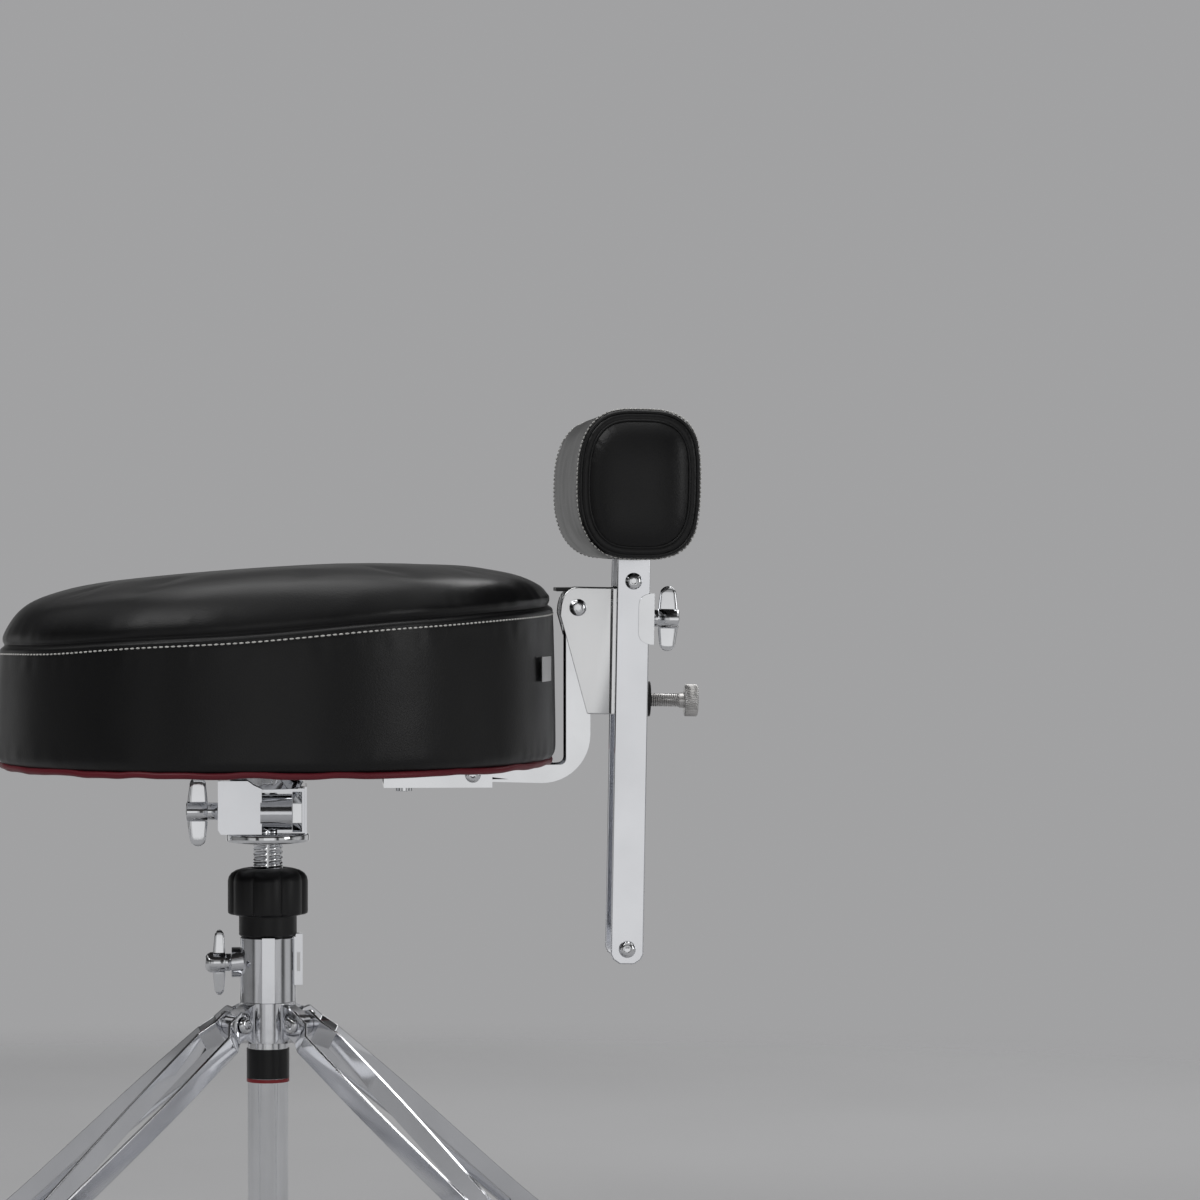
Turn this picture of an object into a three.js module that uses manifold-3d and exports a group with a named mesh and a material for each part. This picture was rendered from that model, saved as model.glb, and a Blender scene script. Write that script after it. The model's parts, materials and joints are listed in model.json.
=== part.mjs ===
// A folding drum throne: four double-strip legs and a sliding brace collar, a threaded post with a
// lock handle, a padded seat, and a padded backrest on two flat bars. Millimetres, +Z up, the
// drummer faces -Y. Everything is laid out from the post's axis and centred at the very end.
import * as THREE from "three";
import { mergeVertices } from "three/addons/utils/BufferGeometryUtils.js";
import Module from "manifold-3d";

const wasm = await Module();
wasm.setup();

// ---- Driving dimensions -------------------------------------------------------------------------

const CLEAR = 0.3; // between pieces that touch
const RUN = 0.4; // radial play of a pin or rod in its hole
const ROUND = 32; // sides of a large cylinder
const SMALL = 12; // sides of a pin or a screw
const HEAD = 16; // sides of a screw head

// base
const TUBE_R = 14.3;
const TUBE_WALL = 2;
const TUBE_BOTTOM = 36;
const HUB_PIVOT_R = TUBE_R + 17.7; // leg pin to post axis
const HUB_PIVOT_Z = 208;
const HUB_RING_R = TUBE_R + 5.7;
const HUB_HEIGHT = 28;
const LUG_THICK = 12;
const LEG_ANGLE = THREE.MathUtils.degToRad(34); // below the horizontal
const LEG_DEPTH = 14; // strip height
const LEG_STRIP = 2.5; // strip thickness
const LEG_JOG = 8; // how far each strip steps outwards just below the hub
const JOG_START = 10; // from the leg pin
const JOG_END = 21;
const JOG_HOLD = 70; // below here the strips draw together again
const STAY_FROM_END = 46.93; // stay pin to the lower end of the strips
const STAY_DEPTH = 12;
const STAY_THICK = 3;
const PIN_R = 3.5;
const PIN_HEAD_R = 6;
const PIN_HEAD = 3;
const COLLAR_PIVOT_R = TUBE_R + 11.7;
const COLLAR_PIVOT_Z = 64;
const COLLAR_HEIGHT = 22;
const COLLAR_WALL = 4.1;
const PILOT_TURN = THREE.MathUtils.degToRad(-44); // small hole in the clamp
const BAND_HEIGHT = 20.7;
const BAND_TOP = HUB_PIVOT_Z - 18.8; // the label sits just under the hub
const BAND_THICK = 0.4;
const LINE_HEIGHT = 2.4;
const FOOT_WIDTH = 24;
const FOOT_LENGTH = 36;

// post clamp, lock handle and rod
const CLAMP_TOP = 268;
const CLAMP_R = TUBE_R + 5.5;
const WING_SPAN = 46;
const WING_SPAN_LARGE = 49;
const HANDLE_R = 28.1;
const HANDLE_HEIGHT = 34;
const HANDLE_LOBES = 10;
const LOBE_DEPTH = 1.3;
const NECK_R = TUBE_R + 6.2;
const NECK_HEIGHT = 14;
const ROD_R = 10.8;
const ROD_BOTTOM = 85;
const ROD_SHOWN = 18; // bare thread between the handle and the disc
const DISC_R = 29.3;
const DISC_THICK = 6.4;

// seat
const RECEIVER_FRONT = 34.6;
const RECEIVER_REAR = 27.4;
const RECEIVER_WIDTH = 46;
const RECEIVER_HEIGHT = 37.4;
const FLANGE_R = 22.5; // at the foot of the conical flange
const FLANGE_TOP_R = 33;
const PLATE_SIZE = 120;
const PLATE_THICK = 3;
const BOARD_Z = 391.5;
const BOARD_THICK = 12;
const BOARD_INSET = 14;
const SEAT_HALF = 245;
const SEAT_FRONT = 197;
const SEAT_REAR = 203;
const SEAT_TOP = 530;
const SEAT_ROUND = 34; // height of the rounded shoulder

// backrest carrier
const CHANNEL_FRONT = 81;
const CHANNEL_REAR = 157;
const SHEET = 3; // steel sheet of arm and bracket
const CHANNEL_SHEET = 2.5;
const ARM_WIDTH = 40;
const ARM_FRONT = 86;
const ARM_DEPTH = 17; // web face to flange edge
const ARM_REAR = 226; // rear face of the upright
const ARM_BEND = 34; // outer bend radius
const PIVOT_Y = 217;
const PIVOT_Z = 499;
const BACK_LEAN = THREE.MathUtils.degToRad(1);
const BAR_GAP = 57; // between the two bars
const BAR_THICK = 3;
const BAR_WIDTH = 23;
const BAR_FRONT = 26.7; // from the tilt pin, in the leaning frame
const BAR_LOW = -249;
const BAR_HIGH = 50.5;
const BRACKET_TOP = 14.3;
const BRACKET_LOW = -74.5;
const SCREW_DROP = 64; // tilt screw below the tilt pin
const SCREW_R = 4.9;
const SCREW_TRAVEL = 12.6;
const CLIP_DROP = 7;
const CLIP_HEIGHT = 36;
const BOLT_R = 3;
const BOLT_HEAD_R = 5.9;
const BOLT_HEAD = 3.2;
const PAD_WIDTH = 300;
const PAD_DEPTH = 85;
const PAD_HEIGHT = 103;
const PAD_BOTTOM = 34; // above the tilt pin
const PAD_BOARD = 12;
const PAD_SQUARE = 0.62; // 1 is an ellipse, less is squarer

// ---- Materials ----------------------------------------------------------------------------------

const finish = (color, roughness, metalness) =>
  new THREE.MeshStandardMaterial({ color, roughness, metalness });
const CHROME = finish(0xd6d8dc, 0.12, 1);
const SATIN = finish(0xa9abaf, 0.35, 1);
const CAST = finish(0xb9bbbf, 0.25, 1);
const BLACK_STEEL = finish(0x17171a, 0.4, 0.6);
const BLACK_PLASTIC = finish(0x141416, 0.45, 0);
const RUBBER = finish(0x1b1b1c, 0.85, 0);
const BRASS = finish(0xb08d4a, 0.35, 1);
const VINYL = finish(0x101012, 0.38, 0);
const RED = finish(0x8e1a22, 0.4, 0);
const PLYWOOD = finish(0xb48a5a, 0.8, 0);

// ---- Solids -------------------------------------------------------------------------------------

// A closed geometry as a manifold-3d solid.
function solid(geometry) {
  const bare = geometry.clone();
  bare.deleteAttribute("normal");
  bare.deleteAttribute("uv");
  const merged = mergeVertices(bare, 1e-4);
  return new wasm.Manifold(
    new wasm.Mesh({
      numProp: 3,
      vertProperties: new Float32Array(merged.attributes.position.array),
      triVerts: new Uint32Array(merged.index.array),
    }),
  );
}

// A manifold-3d solid as a geometry.
function geometryOf(made) {
  const mesh = made.getMesh();
  const geometry = new THREE.BufferGeometry();
  geometry.setAttribute("position", new THREE.BufferAttribute(mesh.vertProperties, 3));
  geometry.setIndex(new THREE.BufferAttribute(mesh.triVerts, 1));
  geometry.computeVertexNormals();
  return geometry;
}

const join = (...parts) =>
  geometryOf(parts.map(solid).reduce((made, next) => made.add(next)));
const cut = (base, ...tools) =>
  geometryOf(tools.map(solid).reduce((made, next) => made.subtract(next), solid(base)));
const common = (a, b) => geometryOf(solid(a).intersect(solid(b)));

// A box from its low and high corners.
function box(low, high) {
  const size = high.map((value, axis) => value - low[axis]);
  const middle = high.map((value, axis) => (value + low[axis]) / 2);
  return new THREE.BoxGeometry(...size).translate(...middle);
}

const AXES = {
  x: new THREE.Vector3(1, 0, 0),
  y: new THREE.Vector3(0, 1, 0),
  z: new THREE.Vector3(0, 0, 1),
};

// A cylinder along an axis, from one station to another, about a point given in the other two.
function rod(axis, radius, from, to, across = [0, 0], sides = SMALL) {
  const geometry = new THREE.CylinderGeometry(radius, radius, to - from, sides);
  const middle = (from + to) / 2;
  if (axis === "x") geometry.rotateZ(-Math.PI / 2).translate(middle, across[0], across[1]);
  if (axis === "y") geometry.translate(across[0], middle, across[1]);
  if (axis === "z") geometry.rotateX(Math.PI / 2).translate(across[0], across[1], middle);
  return geometry;
}

// A solid of revolution about Z from a closed [radius, height] outline, listed anticlockwise.
function turned(outline, sides = ROUND) {
  const points = outline.map(([r, z]) => new THREE.Vector2(r, z));
  points.push(points[0].clone());
  return new THREE.LatheGeometry(points, sides).rotateX(Math.PI / 2);
}

const ring = (inner, outer, low, high, sides = ROUND) =>
  turned([[inner, low], [outer, low], [outer, high], [inner, high]], sides);

// A shape drawn in the plane of two axes, made thick along the third, centred on a station.
function plate(outline, plane, thick, station = 0) {
  const geometry = new THREE.ExtrudeGeometry(outline, {
    depth: thick,
    bevelEnabled: false,
    curveSegments: 6,
  }).translate(0, 0, -thick / 2);
  const along = { yz: [AXES.y, AXES.z], xz: [AXES.x, AXES.z], xy: [AXES.x, AXES.y] }[plane];
  const normal = along[0].clone().cross(along[1]);
  const place = new THREE.Matrix4().makeBasis(along[0], along[1], normal);
  const third = { yz: AXES.x, xz: AXES.y, xy: AXES.z }[plane];
  return geometry.applyMatrix4(place).translate(...third.clone().multiplyScalar(station));
}

const polygon = (points) => new THREE.Shape(points.map(([a, b]) => new THREE.Vector2(a, b)));

// A flat bar outline with two round ends, between two points on its centre line.
function barOutline(from, to, width) {
  const half = width / 2;
  const turn = Math.atan2(to[1] - from[1], to[0] - from[0]);
  const shape = new THREE.Shape();
  shape.absarc(from[0], from[1], half, turn + Math.PI / 2, turn + (Math.PI * 3) / 2, false);
  shape.absarc(to[0], to[1], half, turn - Math.PI / 2, turn + Math.PI / 2, false);
  shape.closePath();
  return shape;
}

// Stacked outlines of equal length joined into one closed skin; the ends are fans.
function loft(rings) {
  const count = rings[0].length;
  const positions = rings.flat(2);
  const index = [];
  rings.slice(1).forEach((_, level) => {
    for (let i = 0; i < count; i += 1) {
      const next = (i + 1) % count;
      const [a, b] = [level * count + i, level * count + next];
      index.push(a, b, b + count, a, b + count, a + count);
    }
  });
  const capCentre = (outline) =>
    [0, 1, 2].map((axis) => outline.reduce((sum, point) => sum + point[axis], 0) / count);
  const low = positions.length / 3;
  positions.push(...capCentre(rings[0]), ...capCentre(rings.at(-1)));
  const top = (rings.length - 1) * count;
  for (let i = 0; i < count; i += 1) {
    const next = (i + 1) % count;
    index.push(low, next, i, low + 1, top + i, top + next);
  }
  const geometry = new THREE.BufferGeometry();
  geometry.setAttribute("position", new THREE.Float32BufferAttribute(positions, 3));
  geometry.setIndex(index);
  geometry.computeVertexNormals();
  return geometry;
}

// ---- Scene graph --------------------------------------------------------------------------------

const throne = new THREE.Group();

// Adds a named mesh to a group.
function add(group, name, geometry, material) {
  const mesh = new THREE.Mesh(geometry, material);
  mesh.name = name;
  group.add(mesh);
}

// ---- Base: tube, hub, clamp ---------------------------------------------------------------------

const HUB_TOP = HUB_PIVOT_Z + HUB_HEIGHT / 2;
const HUB_LOW = HUB_PIVOT_Z - HUB_HEIGHT / 2;
const CLAMP_LOW = HUB_TOP + CLEAR;
const TUBE_TOP = CLAMP_TOP - 6;
const BORE = TUBE_R + CLEAR;
const CLAMP_SCREW_Z = CLAMP_TOP - 18.4;
const NECK_HUB_R = 7.4; // hub of a wing bolt
const WING_SCREW_R = 4;
const CLAMP_BOSS = TUBE_R + 11.1; // front face of the clamp's screw boss

function addTube() {
  add(throne, "base_tube", ring(TUBE_R - TUBE_WALL, TUBE_R, TUBE_BOTTOM, TUBE_TOP), CHROME);
  const plug = turned([
    [0, TUBE_BOTTOM - 4],
    [TUBE_R, TUBE_BOTTOM - 4],
    [TUBE_R, TUBE_BOTTOM - CLEAR],
    [TUBE_R - TUBE_WALL - CLEAR, TUBE_BOTTOM - CLEAR],
    [TUBE_R - TUBE_WALL - CLEAR, TUBE_BOTTOM + 12],
    [0, TUBE_BOTTOM + 12],
  ]);
  add(throne, "tube_plug", plug, BLACK_PLASTIC);
  const insert = ring(ROD_R + RUN, TUBE_R - TUBE_WALL - CLEAR, TUBE_TOP - 30, TUBE_TOP - CLEAR);
  add(throne, "thread_insert", insert, BRASS);
  const bandR = TUBE_R + CLEAR;
  const band = ring(bandR, bandR + BAND_THICK, BAND_TOP - BAND_HEIGHT, BAND_TOP);
  add(throne, "label_band", band, BLACK_PLASTIC);
  const lineTop = BAND_TOP - BAND_HEIGHT - CLEAR;
  const line = ring(bandR, bandR + BAND_THICK, lineTop - LINE_HEIGHT, lineTop);
  add(throne, "label_line", line, RED);
  const stopTop = COLLAR_PIVOT_Z - COLLAR_HEIGHT / 2 - CLEAR;
  add(throne, "collar_stop", ring(BORE, BORE + 3, stopTop - 6, stopTop), CHROME);
}

// One radial lug of the hub, in the plane of its leg.
function hubLug() {
  const shape = new THREE.Shape();
  const nose = 7.2;
  shape.moveTo(BORE + 2, HUB_LOW);
  shape.lineTo(HUB_RING_R + 1, HUB_LOW);
  shape.absarc(HUB_PIVOT_R, HUB_PIVOT_Z, nose, -Math.PI / 3, Math.PI / 2.4, false);
  shape.lineTo(HUB_RING_R, HUB_TOP - 1);
  shape.lineTo(BORE + 2, HUB_TOP - 1);
  shape.closePath();
  return plate(shape, "xz", LUG_THICK);
}

function addHub() {
  const lugs = AZIMUTHS.map((turn) => hubLug().rotateZ(turn));
  const body = join(ring(BORE + 1, HUB_RING_R, HUB_LOW, HUB_TOP), ...lugs);
  const holes = AZIMUTHS.map((turn) =>
    rod("y", PIN_R + RUN, -LUG_THICK, LUG_THICK, [HUB_PIVOT_R, HUB_PIVOT_Z]).rotateZ(turn),
  );
  const bore = rod("z", BORE, HUB_LOW - 1, HUB_TOP + 1, [0, 0], ROUND);
  add(throne, "leg_hub", cut(body, bore, ...holes), CAST);
}

function addClamp() {
  const shell = turned([
    [BORE, CLAMP_LOW],
    [CLAMP_R, CLAMP_LOW],
    [CLAMP_R, CLAMP_TOP - 1],
    [CLAMP_R - 1, CLAMP_TOP],
    [ROD_R + RUN, CLAMP_TOP],
    [ROD_R + RUN, TUBE_TOP + CLEAR],
    [BORE, TUBE_TOP + CLEAR],
  ]);
  const boss = rod("y", 10.6, -CLAMP_BOSS, -BORE - 1, [0, CLAMP_SCREW_Z], HEAD);
  const ear = box([-7, BORE + 1, CLAMP_TOP - 34], [7, CLAMP_R + 4.6, CLAMP_TOP + 2]);
  const rib = (side) => {
    const [x0, x1] = [side * (BORE + 1), side * (CLAMP_R + 1.4)].sort((a, b) => a - b);
    return box([x0, -4, CLAMP_LOW], [x1, 5, CLAMP_TOP]);
  };
  const slot = box([-8, CLAMP_R + 0.6, CLAMP_TOP - 24], [8, CLAMP_R + 2.8, CLAMP_TOP - 11]);
  const pilot = rod("x", 2.3, BORE + 1.5, CLAMP_R + 1, [0, CLAMP_SCREW_Z]).rotateZ(PILOT_TURN);
  const screw = rod("y", WING_SCREW_R + RUN, -CLAMP_BOSS - 1, -BORE + 1, [0, CLAMP_SCREW_Z]);
  const neckRoom = rod("z", NECK_R + CLEAR, CLAMP_TOP, CLAMP_TOP + 5, [0, 0], ROUND);
  const made = cut(join(shell, boss, ear, rib(1), rib(-1)), slot, screw, pilot, neckRoom);
  add(throne, "post_clamp", made, CAST);
}

// A wing bolt about its own axis +Z: a shank below zero, a neck, two tapered wings, a round nose.
function wingBolt({ shank, neck, span, depth, nose }) {
  const half = span / 2;
  const low = neck - 1;
  const shape = new THREE.Shape();
  shape.moveTo(-7, low);
  shape.lineTo(7, low);
  shape.lineTo(half - 3, low + depth * 0.13);
  shape.quadraticCurveTo(half, low + depth * 0.2, half, low + depth * 0.42);
  shape.quadraticCurveTo(half, low + depth * 0.74, half - 4, low + depth * 0.84);
  shape.lineTo(7, low + depth);
  shape.lineTo(-7, low + depth);
  shape.lineTo(4 - half, low + depth * 0.84);
  shape.quadraticCurveTo(-half, low + depth * 0.74, -half, low + depth * 0.42);
  shape.quadraticCurveTo(-half, low + depth * 0.2, 3 - half, low + depth * 0.13);
  shape.closePath();
  const hub = turned([
    [0, low],
    [NECK_HUB_R, low],
    [NECK_HUB_R, low + depth + nose * 0.4],
    [NECK_HUB_R - 2.2, low + depth + nose],
    [0, low + depth + nose],
  ], HEAD);
  const stem = rod("z", 6.2, 0, neck, [0, 0], HEAD);
  return join(rod("z", WING_SCREW_R, -shank, 0.5), stem, hub, plate(shape, "xz", 5));
}

// Turns a bolt made along +Z so that it points to the front or the rear with upright wings.
function facing(geometry, side, station, z) {
  const out = AXES.y.clone().multiplyScalar(side);
  const across = out.clone().cross(AXES.z);
  return geometry
    .applyMatrix4(new THREE.Matrix4().makeBasis(AXES.z, across, out))
    .translate(0, station, z);
}

function addPostWing() {
  const shank = CLAMP_BOSS - TUBE_R - 2 * CLEAR;
  const bolt = wingBolt({ shank, neck: 5, span: WING_SPAN, depth: 9, nose: 5 });
  const front = -(CLAMP_BOSS + CLEAR);
  add(throne, "post_wing_bolt", facing(bolt, -1, front, CLAMP_SCREW_Z), CHROME);
}

// ---- Legs, stays and collar ---------------------------------------------------------------------

const LEG_NAMES = ["rear_left", "rear_right", "front_right", "front_left"];
const AZIMUTHS = LEG_NAMES.map((_, i) => Math.PI / 4 + (i * Math.PI) / 2);
const STRIP_IN = LUG_THICK / 2 + CLEAR; // inner face of a leg strip
const alongLeg = (u, w) => [
  HUB_PIVOT_R + u * Math.cos(LEG_ANGLE) + w * Math.sin(LEG_ANGLE),
  HUB_PIVOT_Z - u * Math.sin(LEG_ANGLE) + w * Math.cos(LEG_ANGLE),
];
// The strips end where the foot takes over, just above the floor.
const LEG_END = (HUB_PIVOT_Z - LEG_DEPTH) / Math.sin(LEG_ANGLE);
const STAY_REACH = LEG_END - STAY_FROM_END; // leg pin to stay pin
const TONGUE = 18;

// One strip, lying along +X from the hub pin and bowed sideways, its depth along Z.
function legStrip(side) {
  const bow = (u) => {
    const rise = THREE.MathUtils.clamp((u - JOG_START) / (JOG_END - JOG_START), 0, 1);
    const fall = THREE.MathUtils.smoothstep(u, JOG_HOLD, STAY_REACH - 25);
    return STRIP_IN + LEG_JOG * rise * (1 - fall);
  };
  const start = -LEG_DEPTH / 2 - 2;
  const lower = Array.from({ length: 11 }, (_, i) => JOG_HOLD + ((LEG_END - JOG_HOLD) * i) / 10);
  const stations = [start, JOG_START, JOG_END, ...lower];
  const inner = stations.map((u) => [u, side * bow(u)]);
  const outer = stations.map((u) => [u, side * (bow(u) + LEG_STRIP)]).reverse();
  const plan = plate(polygon([...inner, ...outer]), "xy", 2 * LEG_DEPTH);
  const half = LEG_DEPTH / 2;
  const face = polygon([
    [start + 5, -half - 2],
    [JOG_START, -half - 2],
    [JOG_END, -half],
    [LEG_END, -half],
    [LEG_END, half],
    [JOG_END, half],
    [JOG_START, half + 2],
    [start + 5, half + 2],
    [start, half - 3],
    [start, 3 - half],
  ]);
  const envelope = plate(face, "xz", 4 * LUG_THICK);
  const hole = rod("y", PIN_R + RUN, -2 * LUG_THICK, 2 * LUG_THICK, [0, 0]);
  return cut(common(plan, envelope), hole);
}

// A rubber foot in the plane of its leg, with a tongue between the strips.
function foot() {
  const half = LEG_DEPTH / 2 + 2.5;
  const start = LEG_END + CLEAR;
  const [topR, topZ] = alongLeg(start, half);
  const [lowR, lowZ] = alongLeg(start, -half);
  const toe = lowR + FOOT_LENGTH;
  const shape = new THREE.Shape();
  shape.moveTo(lowR, lowZ);
  shape.lineTo(lowR + 2, 0);
  shape.lineTo(toe - 3, 0);
  shape.quadraticCurveTo(toe, 0, toe, 4);
  shape.quadraticCurveTo(toe - 4, topZ, topR, topZ);
  shape.closePath();
  const block = plate(shape, "xz", FOOT_WIDTH);
  const depth = LEG_DEPTH / 2 - 1;
  const tongue = polygon([
    alongLeg(LEG_END - TONGUE, -depth),
    alongLeg(start + 2, -depth),
    alongLeg(start + 2, depth),
    alongLeg(LEG_END - TONGUE, depth),
  ]);
  return join(block, plate(tongue, "xz", 2 * (STRIP_IN - CLEAR)));
}

function hubPin() {
  const far = STRIP_IN + LEG_STRIP + CLEAR;
  const at = [HUB_PIVOT_R, HUB_PIVOT_Z];
  return join(
    rod("y", PIN_R, -far - 1, far + 1, at),
    rod("y", PIN_HEAD_R, far, far + PIN_HEAD, at, HEAD),
    rod("y", PIN_HEAD_R, -far - PIN_HEAD, -far, at, 6),
  );
}

// A stay from the collar's pin to the leg, with the stub of its outer rivet between the strips.
function stay() {
  const from = [COLLAR_PIVOT_R, COLLAR_PIVOT_Z];
  const to = alongLeg(STAY_REACH, 0);
  const strip = plate(barOutline(from, to, STAY_DEPTH), "xz", STAY_THICK);
  const rivet = rod("y", PIN_R, -(STRIP_IN - RUN), STRIP_IN - RUN, to);
  return cut(join(strip, rivet), rod("y", BOLT_R + RUN, -STAY_THICK, STAY_THICK, from));
}

function collar() {
  const bore = TUBE_R + BAND_THICK + 2 * CLEAR + RUN;
  const outer = bore + COLLAR_WALL;
  const low = COLLAR_PIVOT_Z - COLLAR_HEIGHT / 2;
  const high = COLLAR_PIVOT_Z + COLLAR_HEIGHT / 2;
  const room = STAY_THICK / 2 + CLEAR;
  const lugs = AZIMUTHS.flatMap((turn) => {
    const shape = new THREE.Shape();
    shape.moveTo(bore + 1.5, COLLAR_PIVOT_Z - 9);
    shape.absarc(COLLAR_PIVOT_R, COLLAR_PIVOT_Z, STAY_DEPTH / 2, -Math.PI / 2, Math.PI / 2, false);
    shape.lineTo(bore + 1.5, COLLAR_PIVOT_Z + 9);
    shape.closePath();
    const cheek = (side) => plate(shape, "xz", 3, side * (room + 1.5)).rotateZ(turn);
    const pin = rod("y", BOLT_R, -room - 1, room + 1, [COLLAR_PIVOT_R, COLLAR_PIVOT_Z]);
    return [cheek(1), cheek(-1), pin.rotateZ(turn)];
  });
  const body = join(ring(bore, outer, low, high), ...lugs);
  return cut(body, rod("z", bore, low - 1, high + 1, [0, 0], ROUND));
}

function addLegs() {
  LEG_NAMES.forEach((name, i) => {
    const turned45 = new THREE.Group();
    turned45.rotation.z = AZIMUTHS[i];
    const swing = new THREE.Group();
    swing.position.set(HUB_PIVOT_R, 0, HUB_PIVOT_Z);
    swing.rotation.y = LEG_ANGLE;
    turned45.add(swing);
    add(swing, `leg_${name}_strip_a`, legStrip(1), CHROME);
    add(swing, `leg_${name}_strip_b`, legStrip(-1), CHROME);
    add(turned45, `leg_${name}_foot`, foot(), RUBBER);
    add(turned45, `hub_pin_${name}`, hubPin(), SATIN);
    add(turned45, `stay_${name}`, stay(), CHROME);
    throne.add(turned45);
  });
  add(throne, "brace_collar", collar(), CAST);
}

// ---- Lock handle and threaded post --------------------------------------------------------------

const HANDLE_LOW = CLAMP_TOP + NECK_HEIGHT;
const HANDLE_TOP = HANDLE_LOW + HANDLE_HEIGHT;
const DISC_LOW = HANDLE_TOP + ROD_SHOWN;
const RECEIVER_LOW = DISC_LOW + DISC_THICK + CLEAR;
const RECEIVER_TOP = RECEIVER_LOW + RECEIVER_HEIGHT;
const NUT_R = 15;

function addHandle() {
  const outline = Array.from({ length: HANDLE_LOBES * 6 }, (_, i) => {
    const turn = (i * Math.PI * 2) / (HANDLE_LOBES * 6);
    const radius = HANDLE_R - LOBE_DEPTH * (1 - Math.cos(turn * HANDLE_LOBES));
    return [radius * Math.cos(turn), radius * Math.sin(turn)];
  });
  const level = (scale, z) => outline.map(([x, y]) => [x * scale, y * scale, z]);
  const grip = loft([
    level(0.9, HANDLE_LOW),
    level(1, HANDLE_LOW + 4),
    level(0.99, HANDLE_TOP - 7),
    level(0.9, HANDLE_TOP - 1.5),
    level(0.82, HANDLE_TOP),
  ]);
  const neck = rod("z", NECK_R, CLAMP_TOP + CLEAR, HANDLE_LOW + 2, [0, 0], ROUND);
  const nutRoom = rod("z", NUT_R + CLEAR, CLAMP_TOP, HANDLE_LOW, [0, 0], 6);
  const hole = rod("z", ROD_R + RUN, CLAMP_TOP, HANDLE_TOP + 1, [0, 0], ROUND);
  add(throne, "lock_handle", cut(join(grip, neck), nutRoom, hole), BLACK_PLASTIC);
  const nut = rod("z", NUT_R, CLAMP_TOP + 2 * CLEAR, HANDLE_LOW - CLEAR, [0, 0], 6);
  add(throne, "handle_nut", cut(nut, hole), BRASS);
}

function addPost() {
  const spigot = RECEIVER_TOP - 10;
  add(throne, "threaded_rod", rod("z", ROD_R, ROD_BOTTOM, spigot, [0, 0], ROUND), CHROME);
  const disc = turned([
    [ROD_R + CLEAR, DISC_LOW],
    [DISC_R - 5, DISC_LOW],
    [DISC_R - 1.6, DISC_LOW + 1.3],
    [DISC_R, DISC_LOW + 3.2],
    [DISC_R, DISC_LOW + DISC_THICK],
    [ROD_R + CLEAR, DISC_LOW + DISC_THICK],
  ]);
  add(throne, "rod_disc", disc, CHROME);
}

// ---- Seat ---------------------------------------------------------------------------------------

const PLATE_LOW = BOARD_Z - CLEAR - PLATE_THICK;
const RECEIVER_SCREW_Z = RECEIVER_LOW + 15;
const FLANGE_LOW = RECEIVER_TOP - 6;
const BARREL_X = 13;
const BARREL_R = 12.4;

function addReceiver() {
  const half = RECEIVER_WIDTH / 2;
  const block = box([-half, -RECEIVER_FRONT, RECEIVER_LOW], [half, -4, RECEIVER_TOP]);
  const core = box([-half, -5, RECEIVER_LOW], [9, RECEIVER_REAR - 1, RECEIVER_TOP - 6]);
  const barrel = rod("y", BARREL_R, -5, 17, [BARREL_X, RECEIVER_SCREW_Z], 32);
  const end = box([-half, RECEIVER_REAR - 1.4, RECEIVER_LOW], [half, RECEIVER_REAR, RECEIVER_TOP - 4]);
  const bore = rod("z", ROD_R + RUN, RECEIVER_LOW - 1, RECEIVER_TOP - 9, [0, 0], ROUND);
  const screw = rod("y", WING_SCREW_R + RUN, -RECEIVER_FRONT - 1, -ROD_R, [0, RECEIVER_SCREW_Z]);
  const flangeRoom = turned([
    [0, FLANGE_LOW - CLEAR],
    [FLANGE_R + CLEAR, FLANGE_LOW - CLEAR],
    [FLANGE_TOP_R + 2 * CLEAR, PLATE_LOW + CLEAR],
    [FLANGE_TOP_R + 2 * CLEAR, PLATE_LOW + 2],
    [0, PLATE_LOW + 2],
  ]);
  const cornerFace = [[-50, -1], [-32, -1], [-35, 4], [-50, 4]];
  const corner = plate(
    polygon(cornerFace.map(([y, z]) => [y, RECEIVER_LOW + z])),
    "yz",
    2 * RECEIVER_WIDTH,
  );
  const made = cut(join(block, core, barrel, end), bore, screw, flangeRoom, corner);
  add(throne, "seat_receiver", made, CAST);
  const nut = rod("y", 14, 17 + CLEAR, 24, [BARREL_X, RECEIVER_SCREW_Z], 6);
  const nutRoom = box([-half, 16, RECEIVER_LOW - 1], [9 + CLEAR, 25, RECEIVER_TOP]);
  add(throne, "receiver_nut", cut(nut, nutRoom), CHROME);
  const shank = RECEIVER_FRONT - ROD_R - RUN - 2 * CLEAR;
  const bolt = wingBolt({ shank, neck: 8.1, span: WING_SPAN_LARGE, depth: 14.5, nose: 1 });
  const front = -(RECEIVER_FRONT + CLEAR);
  add(throne, "receiver_wing_bolt", facing(bolt, -1, front, RECEIVER_SCREW_Z), CHROME);
}

function addSeatPlate() {
  const half = PLATE_SIZE / 2;
  const sheet = box([-half, -half, PLATE_LOW], [half, half, PLATE_LOW + PLATE_THICK]);
  const flange = turned([
    [0, FLANGE_LOW],
    [FLANGE_R, FLANGE_LOW],
    [FLANGE_TOP_R, PLATE_LOW],
    [FLANGE_TOP_R, PLATE_LOW + 1],
    [0, PLATE_LOW + 1],
  ]);
  add(throne, "seat_plate", join(sheet, flange), CHROME);
}

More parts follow.
